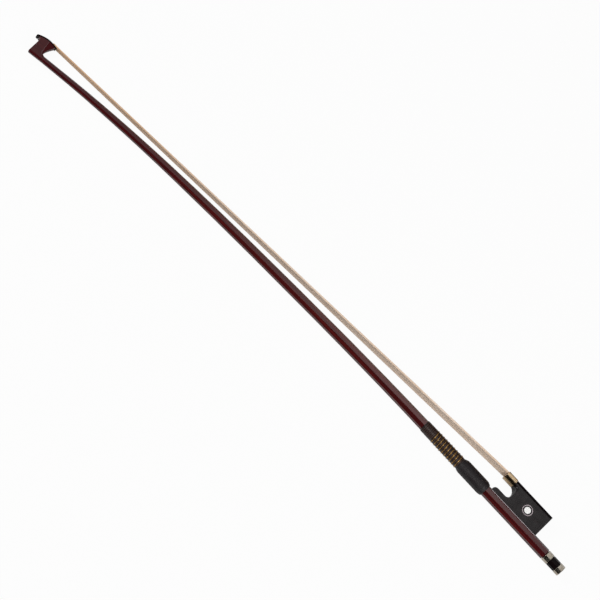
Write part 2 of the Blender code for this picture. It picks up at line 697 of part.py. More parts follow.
# Middle of the hair in the frog: through the ferrule, down into the channel and the mortise
def hair_in_frog():
    packed = SEAT_GAP + HAIR_THICKNESS_PACKED / 2.0
    flat_y = (HAIR_OUTSIDE_Y + HAIR_INSIDE_Y) / 2.0
    middle_width = (HAIR_WIDTH_AT_FROG + HAIR_WIDTH_IN_CHANNEL) / 2.0
    points = [(FROG_FRONT_X, flat_y, HAIR_WIDTH_AT_FROG, HAIR_THICKNESS_AT_FROG),
              (WEDGE_REAR_X, flat_y, middle_width, HAIR_THICKNESS_AT_FROG),
              (FERRULE_REAR_X, CHANNEL_FLOOR_Y + packed, HAIR_WIDTH_IN_CHANNEL, HAIR_THICKNESS_PACKED)]
    for x, y in arc(FROG_MORTISE_X, CHANNEL_FLOOR_Y, packed, 90.0, 0.0, 2):
        points.append((x, y, HAIR_WIDTH_PACKED, HAIR_THICKNESS_PACKED))
    points.append((FROG_MORTISE_X + packed, FROG_KNOT_Y + KNOT_RADIUS + SEAT_GAP,
                   HAIR_WIDTH_PACKED, HAIR_THICKNESS_PACKED))
    return points


def make_hair(parent, finish):
    near = hair_in_head()
    far = hair_in_frog()
    free = []
    for i in range(1, HAIR_FREE_RINGS):
        share = i / HAIR_FREE_RINGS
        free.append(tuple(a + (b - a) * share for a, b in zip(near[-1], far[0])))
    stations = near + free + far
    rings = []
    for i, (x, y, width, depth) in enumerate(stations):
        before = stations[max(0, i - 1)]
        after = stations[min(len(stations) - 1, i + 1)]
        along = Vector((after[0] - before[0], after[1] - before[1], 0.0)).normalized()
        outward = Vector((-along.y, along.x, 0.0)) * depth / 2.0
        across = Vector((0.0, 0.0, width / 2.0))
        middle = Vector((x, y, 0.0))
        rings.append([middle - outward - across, middle - outward + across,
                      middle + outward + across, middle + outward - across])
    bm = bmesh.new()
    loft(bm, rings)
    finish_object("hair", bm, parent, finish)


# Rings around the stick's grip: distance from its rear end, thickness over the flats, rounding, swelling
def grip_rings(stations):
    rings = []
    for distance, thickness, rounding, swell in stations:
        rings.append(wrapped_ring(-distance, stick_flats(distance) + 2.0 * thickness, rounding, swell))
    return rings


def make_leather(parent, finish):
    bulge = LEATHER_THICKNESS - LEATHER_LIP
    rear = []
    for share in (0.0, 0.2, 0.4, 0.7, 1.0):
        rise = math.sin(share * math.pi / 2.0)
        rounding = LIP_ROUNDING + (LEATHER_ROUNDING - LIP_ROUNDING) * share
        rear.append((LEATHER_REAR + LEATHER_ROUND * share, SEAT_GAP + LEATHER_LIP + bulge * rise, rounding,
                     LEATHER_SEAM_SWELL * rise))
    front = [(LEATHER_REAR + LEATHER_FRONT - distance, *rest) for distance, *rest in reversed(rear)]
    inner = [(distance, SEAT_GAP, 0.0, 0.0) for distance in (LEATHER_REAR, LEATHER_FRONT)]
    bm = bmesh.new()
    sleeve(bm, grip_rings(rear + front), grip_rings(inner))
    finish_object("thumb_leather", bm, parent, finish)


def make_winding(parent, finish):
    full = SEAT_GAP + WINDING_THICKNESS
    edge = full - WINDING_THICKNESS / 2.0
    outer = [(WINDING_REAR, full, WINDING_ROUNDING, 0.0),
             (WINDING_FRONT - WINDING_THICKNESS, full, WINDING_ROUNDING, 0.0),
             (WINDING_FRONT, edge, WINDING_ROUNDING, 0.0)]
    inner = [(distance, SEAT_GAP, 0.0, 0.0) for distance in (WINDING_REAR, WINDING_FRONT)]
    bm = bmesh.new()
    sleeve(bm, grip_rings(outer), grip_rings(inner))
    finish_object("winding_thread", bm, parent, finish)


# Flat metal thread wound over the winding as one long helix
def make_tinsel(parent, finish):
    start = WINDING_REAR + TINSEL_WIDTH
    steps = int((WINDING_FRONT - TINSEL_SETBACK - start) / TINSEL_PITCH * ROUND)
    rings = []
    for i in range(steps + 1):
        turn = 2.0 * math.pi * i / ROUND
        distance = start + TINSEL_PITCH * i / ROUND
        flats = stick_flats(distance) + 2.0 * (SEAT_GAP + WINDING_THICKNESS)
        low = wrapped_reach(turn, flats, WINDING_ROUNDING) + INLAY_GAP
        high = low + TINSEL_THICKNESS
        corners = ((-1, low), (1, low), (1, high), (-1, high))
        rings.append([Vector((side * TINSEL_WIDTH / 2.0 - distance, reach * math.cos(turn),
                              -reach * math.sin(turn))) for side, reach in corners])
    bm = bmesh.new()
    loft(bm, rings)
    finish_object("winding_tinsel", bm, parent, finish)


def frog_half_width(height):
    share = (height - FROG_RIM) / (FROG_HEIGHT - FROG_RIM)
    return FROG_RIM_WIDTH / 2.0 + (FROG_BASE_WIDTH - FROG_RIM_WIDTH) / 2.0 * share


# The same behind the ferrule, where the wood is drawn in to follow the ferrule's arch
def necked_half_width(x, height):
    plain = frog_half_width(height)
    ahead = min(1.0, max(0.0, (NECK_REAR_X - x) / NECK_LENGTH))
    above = min(1.0, max(0.0, (height - THROAT_MIDDLE_Y) / (THROAT_TOP - THROAT_MIDDLE_Y)))
    down = min(1.0, max(0.0, (FERRULE_ARCH_Y - height) / FERRULE_ARCH_DEPTH))
    arched = max(NECK_FLAT, FERRULE_WIDTH / 2.0 * math.sqrt(1.0 - down ** 2))
    return plain + (min(plain, arched) - plain) * ahead ** 2 * above


def frog_outline():
    shoulder_x = FERRULE_REAR_X + SEAT_GAP
    wall_x = THROAT_X - THROAT_ROUND
    upper = arc(wall_x, THROAT_TOP - THROAT_ROUND, THROAT_ROUND, 90.0, 0.0, 9)
    lower = arc(wall_x, TONGUE_HEIGHT + THROAT_ROUND, THROAT_ROUND, 0.0, -90.0, 9)
    nose = arc(TONGUE_FRONT_X + TONGUE_NOSE, TONGUE_HEIGHT - TONGUE_NOSE, TONGUE_NOSE, 90.0, 180.0, 6)
    return ([(HEEL_X, FROG_RIM), (HEEL_X, FROG_HEIGHT), (shoulder_x, FROG_HEIGHT), (shoulder_x, THROAT_TOP)]
            + upper + lower + nose + [(TONGUE_FRONT_X, FROG_RIM)])


# Half an ellipse closed by a chord, seen along the bow: the shape inside the ferrule's arch
def arch_ring(x, chord_y, inset):
    half = FERRULE_WIDTH / 2.0 - inset
    depth = FERRULE_ARCH_DEPTH - inset
    start = math.degrees(math.asin((FERRULE_ARCH_Y - chord_y) / depth))
    points = arc(0.0, 0.0, 1.0, start, 180.0 - start, ROUND // 2)
    return [Vector((x, FERRULE_ARCH_Y - depth * down, half * across)) for across, down in points]


def neck_faces(bm):
    return [face for face in bm.faces
            if all(vert.co.x < NECK_REAR_X + FLUSH and vert.co.y > THROAT_MIDDLE_Y - FLUSH
                   for vert in face.verts)]


# Cuts the frog's sides behind the ferrule into small faces that can follow a curve
def divide_neck(bm):
    split_at(bm, bm.faces[:], (NECK_REAR_X, 0.0, 0.0), (1.0, 0.0, 0.0))
    split_at(bm, bm.faces[:], (0.0, THROAT_MIDDLE_Y, 0.0), (0.0, 1.0, 0.0))
    for i in range(1, NECK_STEPS):
        share = i / NECK_STEPS
        split_at(bm, neck_faces(bm), (NECK_REAR_X - NECK_LENGTH * share, 0.0, 0.0), (1.0, 0.0, 0.0))
        drop = FERRULE_ARCH_DEPTH * math.sin(share * math.pi / 2.0)
        split_at(bm, neck_faces(bm), (0.0, FERRULE_ARCH_Y - drop, 0.0), (0.0, 1.0, 0.0))


def make_frog(parent, finish, side_tools, screw_holes):
    half = FROG_RIM_WIDTH / 2.0
    bm = bmesh.new()
    prism(bm, frog_outline(), half)
    round_rims(bm, FROG_BEVEL, lambda middle: middle.y > FROG_RIM + FLUSH)
    divide_neck(bm)
    set_widths(bm, half, necked_half_width)
    bmesh.ops.triangulate(bm, faces=neck_faces(bm))
    frog = finish_object("frog", bm, parent, finish)
    boolean(frog, make_tenon(parent), "UNION")
    groove = octagon_prism("frog_groove", TONGUE_FRONT_X - CUT_OVERRUN, HEEL_X + CUT_OVERRUN,
                           2.0 * GROOVE_DEPTH, parent)
    for tool in (groove, make_slide_groove(parent), *make_hair_pockets(parent), *side_tools, *screw_holes):
        boolean(frog, tool)


# Tongue of the frog that the ferrule fits over
def make_tenon(parent):
    bm = bmesh.new()
    inset = FERRULE_WALL + SEAT_GAP
    ends = (FROG_FRONT_X + TENON_SETBACK, FERRULE_REAR_X + SEAT_GAP + CUT_OVERRUN)
    loft(bm, [arch_ring(x, CHANNEL_FLOOR_Y, inset) for x in ends])
    return finish_object("frog_tenon", bm, parent)


def slide_ring(x, stations):
    right = [Vector((x, y, half)) for y, half in stations]
    left = [Vector((x, y, -half)) for y, half in reversed(stations)]
    return right + left


def make_slide_groove(parent):
    narrow = SLIDE_WIDTH / 2.0 + SEAT_GAP
    stations = ((SLIDE_BACK_Y - SEAT_GAP, narrow + SLIDE_DOVETAIL), (SLIDE_FRONT_Y, narrow),
                (FROG_HEIGHT + CUT_OVERRUN, narrow))
    bm = bmesh.new()
    loft(bm, [slide_ring(x, stations) for x in (SLIDE_FRONT_X - CUT_OVERRUN, SLIDE_REAR_X + SEAT_GAP)])
    return finish_object("frog_slide_groove", bm, parent)


def make_hair_pockets(parent):
    half = HAIR_WIDTH_IN_CHANNEL / 2.0 + SEAT_GAP
    channel = block_tool("frog_hair_channel", (FERRULE_REAR_X - CUT_OVERRUN, CHANNEL_FLOOR_Y, -half),
                         (FROG_MORTISE_X + CUT_OVERRUN, SLIDE_BACK_Y, half), parent)
    half = FROG_MORTISE_WIDTH / 2.0
    mortise = block_tool("frog_hair_mortise", (FROG_MORTISE_X, FROG_MORTISE_FLOOR_Y, -half),
                         (FROG_MORTISE_REAR_X, SLIDE_BACK_Y, half), parent)
    return channel, mortise


def make_slide(parent, base_finish, pearl_finish):
    half = SLIDE_WIDTH / 2.0
    base = ((SLIDE_BACK_Y, half + SLIDE_DOVETAIL), (SLIDE_FRONT_Y, half))
    pearl = ((PEARL_BACK_Y, half), (FROG_HEIGHT, half))
    for name, stations, finish in (("slide_base", base, base_finish), ("pearl_slide", pearl, pearl_finish)):
        bm = bmesh.new()
        loft(bm, [slide_ring(x, stations) for x in (SLIDE_FRONT_X, SLIDE_REAR_X)])
        finish_object(name, bm, parent, finish)


def make_ferrule(parent, finish):
    def ring(x, inset):
        corner = FERRULE_CORNER - inset
        half = FERRULE_WIDTH / 2.0 - inset
        turn = arc(FERRULE_FLAT_Y - inset - corner, half - corner, corner, 0.0, 90.0, 4)
        right = [Vector((x, y, z)) for y, z in turn]
        left = [Vector((x, y, -z)) for y, z in reversed(turn)]
        return right + arch_ring(x, FERRULE_ARCH_Y, inset) + left

    ends = (FROG_FRONT_X, FERRULE_REAR_X)
    bm = bmesh.new()
    sleeve(bm, [ring(x, 0.0) for x in ends], [ring(x, FERRULE_WALL) for x in ends])
    finish_object("ferrule", bm, parent, finish)


def make_wedge(parent, finish):
    low_y = CHANNEL_FLOOR_Y + SEAT_GAP
    high_y = HAIR_INSIDE_Y - SEAT_GAP
    stations = ((low_y, WEDGE_WIDTH / 2.0 - (high_y - low_y) / 2.0), (high_y, WEDGE_WIDTH / 2.0))
    bm = bmesh.new()
    loft(bm, [slide_ring(x, stations) for x in (WEDGE_REAR_X - WEDGE_LENGTH, WEDGE_REAR_X - END_GAP)])
    finish_object("spread_wedge", bm, parent, finish)


def make_frog_knot(parent, finish):
    bm = bmesh.new()
    x = FROG_MORTISE_X + SEAT_GAP + KNOT_RADIUS
    half = FROG_KNOT_WIDTH / 2.0
    rod(bm, (x, FROG_KNOT_Y, -half), (x, FROG_KNOT_Y, half), KNOT_RADIUS, ROUND // 2)
    finish_object("hair_knot_frog", bm, parent, finish)


def make_frog_plug(parent, finish):
    bm = bmesh.new()
    half = FROG_MORTISE_WIDTH / 2.0 - SEAT_GAP
    front_x = FROG_MORTISE_X + HAIR_THICKNESS_PACKED + 2.0 * SEAT_GAP
    block(bm, (front_x, FROG_KNOT_Y + KNOT_RADIUS + SEAT_GAP, -half),
          (FROG_MORTISE_REAR_X - SEAT_GAP, SLIDE_BACK_Y - 2.0 * SEAT_GAP, half))
    finish_object("frog_plug", bm, parent, finish)


# Places of the two pins that hold the underslide to the frog
def pin_places():
    return {"liner_pin_front": THROAT_X + PIN_BEHIND_THROAT, "liner_pin_rear": HEEL_X - PIN_FORWARD_OF_HEEL}


# Holes up into the frog from the stick's groove: two for the pins and one for the eyelet's shank
def make_screw_holes(parent):
    holes = []
    for name, x in pin_places().items():
        top = LINER_INSIDE + PIN_LENGTH + END_GAP
        holes.append(rod_tool(f"{name}_hole", (x, 0.0, 0.0), (x, top, 0.0), PIN_RADIUS + SEAT_GAP, parent))
    top = EYELET_SHANK_REACH + END_GAP
    holes.append(rod_tool("eyelet_hole", (EYELET_X, 0.0, 0.0), (EYELET_X, top, 0.0),
                          EYELET_SHANK_RADIUS + SEAT_GAP, parent))
    return holes


def make_pins(parent, finish):
    for name, x in pin_places().items():
        bm = bmesh.new()
        rod(bm, (x, LINER_INSIDE, 0.0), (x, LINER_INSIDE + PIN_LENGTH, 0.0), PIN_RADIUS, ROUND // 2)
        finish_object(name, bm, parent, finish)


# Thin metal lining of the frog's groove, on the three facets that face the hair
def make_underslide(parent, finish, screw_holes):
    ring = []
    for flats, order in ((LINER_OUTSIDE, 1), (LINER_INSIDE, -1)):
        edge = flats * (1.0 + FACET_SHARE) - LINER_EDGE_Y
        stations = [(LINER_EDGE_Y, edge), (flats, flats * FACET_SHARE)]
        ring += slide_ring(0.0, stations)[::order]
    bm = bmesh.new()
    along = [Vector((x, 0.0, 0.0)) for x in (TONGUE_FRONT_X + SEAT_GAP, HEEL_X)]
    loft(bm, [[point + shift for point in ring] for shift in along])
    lining = finish_object("underslide", bm, parent, finish)
    for hole in screw_holes:
        boolean(lining, hole)


# Square nut in the stick that the screw draws along, with a shank up into the frog
def make_eyelet(parent, finish):
    bm = bmesh.new()
    half_length = EYELET_LENGTH / 2.0
    half_width = EYELET_WIDTH / 2.0
    block(bm, (EYELET_X - half_length, -EYELET_DEPTH, -half_width),
          (EYELET_X + half_length, EYELET_TOP, half_width))
    eyelet = finish_object("eyelet", bm, parent, finish)
    shank = rod_tool("eyelet_shank", (EYELET_X, EYELET_TOP / 2.0 + SCREW_RADIUS, 0.0),
                     (EYELET_X, EYELET_SHANK_REACH, 0.0), EYELET_SHANK_RADIUS, parent)
    boolean(eyelet, shank, "UNION")
    bore = rod_tool("eyelet_bore", (EYELET_X - half_length - CUT_OVERRUN, 0.0, 0.0),
                    (EYELET_X + half_length + CUT_OVERRUN, 0.0, 0.0), SCREW_RADIUS + RUNNING_GAP, parent)
    boolean(eyelet, bore)


# Turns a body made along X, with X = 0 as its outer end, into the frog's side at the eye
def set_in_side(bm, side):
    lean = (FROG_BASE_WIDTH - FROG_RIM_WIDTH) / 2.0 / (FROG_HEIGHT - FROG_RIM)
    outward = Vector((0.0, -lean, side)).normalized()
    turn = Vector((1.0, 0.0, 0.0)).rotation_difference(outward).to_matrix().to_4x4()
    place = Vector((HEEL_X - EYE_FORWARD_OF_HEEL, EYE_HEIGHT, side * frog_half_width(EYE_HEIGHT)))
    bmesh.ops.transform(bm, matrix=Matrix.Translation(place) @ turn, verts=bm.verts)


def disc_mesh(side, radius, inner_x, outer_x):
    bm = bmesh.new()
    loft(bm, [circle(x, radius) for x in (inner_x, outer_x)])
    set_in_side(bm, side)
    return bm


def band_mesh(side, radius, hole_radius, inner_x, outer_x):
    bm = bmesh.new()
    ends = (inner_x, outer_x)
    sleeve(bm, [circle(x, radius) for x in ends], [circle(x, hole_radius) for x in ends])
    set_in_side(bm, side)
    return bm


def make_eyes(parent, ring_finish, pearl_finish):
    tools = []
    hole_radius = EYE_RING_RADIUS - EYE_RING_WIDTH
    floor_x = -INLAY_DEPTH - INLAY_GAP
    for name, side in (("left", 1.0), ("right", -1.0)):
        band = band_mesh(side, EYE_RING_RADIUS, hole_radius, -INLAY_DEPTH, 0.0)
        finish_object(f"eye_ring_{name}", band, parent, ring_finish)
        dot = disc_mesh(side, EYE_PEARL_RADIUS, -INLAY_DEPTH, 0.0)
        finish_object(f"eye_pearl_{name}", dot, parent, pearl_finish)
        band = band_mesh(side, EYE_RING_RADIUS + INLAY_GAP, hole_radius - INLAY_GAP, floor_x, CUT_OVERRUN)
        tools.append(finish_object(f"eye_ring_pocket_{name}", band, parent))
        dot = disc_mesh(side, EYE_PEARL_RADIUS + INLAY_GAP, floor_x, CUT_OVERRUN)
        tools.append(finish_object(f"eye_pearl_pocket_{name}", dot, parent))
    return tools


def make_screw(parent, finish):
    shoulder_x = STICK_MORTISE_FRONT_X + END_GAP
    bm = bmesh.new()
    loft(bm, [circle(PILOT_FRONT_X, PILOT_RADIUS), circle(shoulder_x, PILOT_RADIUS),
              circle(shoulder_x, SCREW_RADIUS), circle(SCREW_TANG, SCREW_RADIUS)])
    finish_object("adjuster_screw", bm, parent, finish)


# Core of the button: bored for the screw's tang and the stick's nipple, with a spigot for each ring
def make_button_core(parent, finish):
    spigot = RING_BORE_RADIUS - SEAT_GAP
    tang = SCREW_RADIUS + SEAT_GAP
    socket_x = BUTTON_FRONT_X + BUTTON_SOCKET_DEPTH
    flats = BUTTON_FLATS - 2.0 * BUTTON_STEP
    bm = bmesh.new()
    loft(bm, [circle(SCREW_TANG + END_GAP, tang), circle(socket_x, tang),
              circle(socket_x, BUTTON_SOCKET_RADIUS), circle(BUTTON_FRONT_X, BUTTON_SOCKET_RADIUS),
              circle(BUTTON_FRONT_X, spigot), circle(BUTTON_MIDDLE_X, spigot),
              wrapped_ring(BUTTON_MIDDLE_X, flats), wrapped_ring(BUTTON_LAST_X, flats),
              circle(BUTTON_LAST_X, spigot), circle(BUTTON_END_X, spigot)])
    finish_object("button_core", bm, parent, finish)


def make_button_rings(parent, finish):
    spans = {"button_ring_front": (BUTTON_FRONT_X, BUTTON_MIDDLE_X - SEAT_GAP),
             "button_ring_rear": (BUTTON_LAST_X + SEAT_GAP, BUTTON_END_X)}
    small = BUTTON_FLATS - 2.0 * BUTTON_CHAMFER
    for name, (front_x, rear_x) in spans.items():
        outer = [wrapped_ring(front_x, small), wrapped_ring(front_x + BUTTON_CHAMFER, BUTTON_FLATS),
                 wrapped_ring(rear_x - BUTTON_CHAMFER, BUTTON_FLATS), wrapped_ring(rear_x, small)]
        bm = bmesh.new()
        sleeve(bm, outer, [circle(x, RING_BORE_RADIUS) for x in (front_x, rear_x)])
        finish_object(name, bm, parent, finish)


def make_stick_body(parent, finishes):
    head_mortise = make_head_mortise(parent)
    make_stick(parent, finishes["bow_wood"], head_mortise)
    make_tip_plate(parent, finishes["black_plastic"], head_mortise)
    make_head_knot(parent, finishes["bound_hair"])
    make_head_plug(parent, finishes["maple"])
    make_hair(parent, finishes["hair"])
    make_leather(parent, finishes["leather"])
    make_winding(parent, finishes["winding"])
    make_tinsel(parent, finishes["tinsel"])


def make_frog_body(parent, finishes):
    side_tools = make_eyes(parent, finishes["nickel_silver"], finishes["pearl"])
    screw_holes = make_screw_holes(parent)
    make_frog(parent, finishes["ebony"], side_tools, screw_holes)
    make_slide(parent, finishes["ebony"], finishes["pearl"])
    make_ferrule(parent, finishes["nickel_silver"])
    make_wedge(parent, finishes["maple"])
    make_frog_knot(parent, finishes["bound_hair"])
    make_frog_plug(parent, finishes["maple"])
    make_underslide(parent, finishes["nickel_silver"], screw_holes)
    make_pins(parent, finishes["nickel_silver"])
    make_eyelet(parent, finishes["brass"])


def make_screw_body(parent, finishes):
    make_screw(parent, finishes["steel"])
    make_button_core(parent, finishes["ebony"])
    make_button_rings(parent, finishes["nickel_silver"])


# Moves the finished bow so that the world's origin is under its middle, on the ground
def centre_on_ground(root):
    bpy.context.view_layer.update()
    pieces = [made for made in bpy.data.objects if made.type == "MESH" and not made.hide_render]
    corners = [piece.matrix_world @ Vector(corner) for piece in pieces for corner in piece.bound_box]
    low = [min(corner[axis] for corner in corners) for axis in range(3)]
    high = [max(corner[axis] for corner in corners) for axis in range(3)]
    root.location = (-(low[0] + high[0]) / 2.0, -(low[1] + high[1]) / 2.0, -low[2])


def main():
    clear_scene()
    finishes = make_materials()
    root = carrier("bow_axis")
    make_stick_body(root, finishes)
    make_frog_body(carrier("frog_carriage", root), finishes)
    make_screw_body(carrier("screw_axis", root), finishes)
    centre_on_ground(root)
    bpy.context.view_layer.update()


main()
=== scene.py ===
# A child's violin bow: a stained octagonal stick, an ebony frog with pearl eyes, a wound grip and horsehair.
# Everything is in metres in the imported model's own frame. The stick runs along X, with the head at -X and
# the button at +X. +Y points from the stick to the hair, and Z goes up from the floor the bow lies on.

import json
import math
import random

import bmesh
import bpy
import numpy as np
from mathutils import Matrix, Vector


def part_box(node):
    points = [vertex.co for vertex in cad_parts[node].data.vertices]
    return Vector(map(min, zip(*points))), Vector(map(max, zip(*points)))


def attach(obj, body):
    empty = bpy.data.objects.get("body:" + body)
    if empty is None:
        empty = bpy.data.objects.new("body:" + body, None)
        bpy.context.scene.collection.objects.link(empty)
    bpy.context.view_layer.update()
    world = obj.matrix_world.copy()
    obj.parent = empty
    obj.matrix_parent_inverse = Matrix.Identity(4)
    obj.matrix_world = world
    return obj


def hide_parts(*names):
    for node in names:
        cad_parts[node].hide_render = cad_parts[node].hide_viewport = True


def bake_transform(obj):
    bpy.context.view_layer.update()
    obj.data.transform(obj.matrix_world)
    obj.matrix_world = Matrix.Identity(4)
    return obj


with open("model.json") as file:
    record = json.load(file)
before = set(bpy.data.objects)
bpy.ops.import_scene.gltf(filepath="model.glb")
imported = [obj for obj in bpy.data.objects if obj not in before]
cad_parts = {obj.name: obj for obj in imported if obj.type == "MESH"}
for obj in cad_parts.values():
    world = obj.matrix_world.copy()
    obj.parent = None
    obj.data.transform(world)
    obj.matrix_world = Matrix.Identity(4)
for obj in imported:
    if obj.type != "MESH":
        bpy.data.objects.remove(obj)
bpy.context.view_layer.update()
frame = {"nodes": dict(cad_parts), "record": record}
nodes = frame["nodes"]
random.seed(4)

# Sizes, in metres

MM = 0.001
# The screw's axis, which the straight rear end of the stick follows
AXIS_Y, AXIS_Z = frame["record"]["behaviour"]["joints"][0]["pos_m"][1:]
LEATHER_X = [corner.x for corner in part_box("thumb_leather")]
WINDING_X = [corner.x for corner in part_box("winding_thread")]
FROG_BASE_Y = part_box("frog")[1].y
STICK_EDGE_EASE = 0.28 * MM
SLEEVE_START = 4.5 * MM                     # radius of a plain sleeve before it is drawn onto the grip
COIL_START = 4.2 * MM                       # and of a plain coil of thread
LEATHER_THICKNESS = 0.3 * MM
LEATHER_CLEAR = 0.03 * MM                   # how far the leather stays inside the CAD sleeve
LEATHER_SEAM_DEPTH = 0.14 * MM
LEATHER_WAVE = 0.02 * MM
BED_THICKNESS = 0.15 * MM                   # of the underlayer of the winding
THREAD_RADIUS = 0.19 * MM
THREAD_PITCH = 1.3 * MM                     # of each of the two threads, which are wound side by side
BASE_FACET = 2.2 * MM                       # width of the frog's facets beside its base
BASE_FACET_INSET = 0.5 * MM
BASE_REACH = 0.5 * MM                       # points this near the base move in with the facet,
BASE_SIDE = 4.2 * MM                        # where they are further than this from the middle plane
LIP_DEPTH = 0.1 * MM                        # of the edge of the liner's two lips
LIP_OUTER = 3.9 * MM                        # its outer points are further than this from the middle plane
LIP_INNER = (3.0 * MM, 3.8 * MM)            # and its inner points between these
LIP_OUTER_SHIFT = (0.08 * MM, 0.1 * MM)     # towards the hair and sideways
LIP_INNER_SHIFT = (-0.35 * MM, 0.67 * MM)
STRANDS = 150                               # single hairs that are laid over the ribbon
STRAND_SPANS = 36                           # lengths that each is cut into
STRAND_RADIUS = 0.11 * MM

# Middle of the hair: x, y, width, thickness, from the head's edge to the wedge in the ferrule
HAIR_AT_EDGE = (-0.235944, -0.006294, 3.9 * MM, 0.9 * MM)
HAIR_AT_HEEL = (-0.232515, -0.006247, 3.9 * MM, 0.9 * MM)
HAIR_AT_FERRULE = (0.176688, 0.021620, 8.4 * MM, 1.3 * MM)
HAIR_AT_WEDGE = (0.181288, 0.021620, 7.1 * MM, 1.3 * MM)


# Workshop helpers

def alone(*pieces):
    """Nothing is selected but these pieces, and the first is active."""
    if bpy.context.object and bpy.context.object.mode != "OBJECT":
        bpy.ops.object.mode_set(mode="OBJECT")
    bpy.ops.object.select_all(action="DESELECT")
    for piece in pieces:
        piece.select_set(True)
    bpy.context.view_layer.objects.active = pieces[0]


def to_edit(piece, mode="VERT", action="DESELECT"):
    alone(piece)
    bpy.ops.object.mode_set(mode="EDIT")
    bpy.ops.mesh.select_mode(type=mode)
    bpy.ops.mesh.select_all(action=action)


def pick_edges(piece, test):
    """In edit mode, selects the edges that the test accepts."""
    bm = bmesh.from_edit_mesh(piece.data)
    for edge in bm.edges:
        if test(edge):
            edge.select_set(True)
    bmesh.update_edit_mesh(piece.data)


def pull_points(piece, test, way):
    """Moves the points that the test accepts, with the faces between them."""
    to_edit(piece)
    bm = bmesh.from_edit_mesh(piece.data)
    for vert in bm.verts:
        if test(vert.co):
            vert.select_set(True)
    bmesh.update_edit_mesh(piece.data)
    bpy.ops.transform.translate(value=way)
    to_object()


def to_object():
    bpy.ops.object.mode_set(mode="OBJECT")


def apply(piece, kind, **settings):
    alone(piece)
    step = piece.modifiers.new(kind.lower(), kind)
    for name, value in settings.items():
        setattr(step, name, value)
    bpy.ops.object.modifier_apply(modifier=step.name)


def smooth(piece, degrees=30.0):
    alone(piece)
    bpy.ops.object.shade_smooth_by_angle(angle=math.radians(degrees))


def settle(piece):
    """Leaves the object at the origin, unturned and unscaled, with its place in its mesh."""
    alone(piece)
    bpy.ops.object.transform_apply(location=True, rotation=True, scale=True)


def copy_of(node, name):
    """A welded copy of a CAD node's mesh, with its flat faces made whole again."""
    piece = bpy.data.objects.new(name, nodes[node].data.copy())
    bpy.context.scene.collection.objects.link(piece)
    piece.data.materials.clear()
    alone(piece)
    if piece.data.has_custom_normals:
        bpy.ops.mesh.customdata_custom_splitnormals_clear()
    to_edit(piece, action="SELECT")
    bpy.ops.mesh.remove_doubles(threshold=2e-6)
    bpy.ops.mesh.dissolve_limited(angle_limit=math.radians(0.4))
    to_object()
    return piece


def break_edges(piece, width, sharper_than=40.0):
    """Sharp edges are broken, as a file and a polishing cloth leave them, and flat faces stay flat."""
    apply(piece, "BEVEL", width=width, segments=2, limit_method="ANGLE",
          angle_limit=math.radians(sharper_than), use_clamp_overlap=True, miter_outer="MITER_ARC")
    smooth(piece, 34.0)
    apply(piece, "WEIGHTED_NORMAL", keep_sharp=True)


def finish_piece(piece, body, material, slot, *replaced):
    """Gives the piece its material, and lets it ride on its body in place of a CAD node. The slot is not
    used.
    """
    if material:
        piece.data.materials.clear()
        piece.data.materials.append(material)
    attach(piece, body)
    if replaced:
        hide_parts(*replaced)


def surface_reach(node, x, turn, far=0.02):
    """How far a CAD sleeve reaches from the stick's axis at x, in the direction of a turn about it."""
    outward = Vector((0.0, math.cos(turn), math.sin(turn)))
    axis = Vector((x, AXIS_Y, AXIS_Z))
    _, place, _, _ = nodes[node].ray_cast(axis + outward * far, -outward)
    return (place - axis).length


# Material helpers

def hex_colour(code):
    """An sRGB hex colour as the linear values that shader sockets take."""
    parts = [int(code[i:i + 2], 16) / 255.0 for i in (1, 3, 5)]
    linear = [c / 12.92 if c <= 0.04045 else ((c + 0.055) / 1.055) ** 2.4 for c in parts]
    return (*linear, 1.0)


def add(tree, kind, settings=None, **inputs):
    """A node with its settings. An input is a plain value, or is linked from a node or one of its outputs."""
    node = tree.nodes.new(kind)
    for name, value in (settings or {}).items():
        if name == "stops":
            while len(node.color_ramp.elements) < len(value):
                node.color_ramp.elements.new(0.5)
            for element, (position, code) in zip(node.color_ramp.elements, value):
                element.position, element.color = position, hex_colour(code)
        else:
            setattr(node, name, value)
    for name, source in inputs.items():
        socket = next(s for s in node.inputs if s.identifier.replace(" ", "_") == name)
        if isinstance(source, bpy.types.Node):
            source = next(s for s in source.outputs if s.enabled)
        if isinstance(source, bpy.types.NodeSocket):
            tree.links.new(source, socket)
        else:
            socket.default_value = source
    return node


def new_material(name):
    """An empty material, its node tree, and the object coordinates that its patterns are laid out in."""
    material = bpy.data.materials.new(name)
    material.use_nodes = True
    tree = material.node_tree
    tree.nodes.clear()
    return material, tree, add(tree, "ShaderNodeTexCoord").outputs["Object"]


# Materials

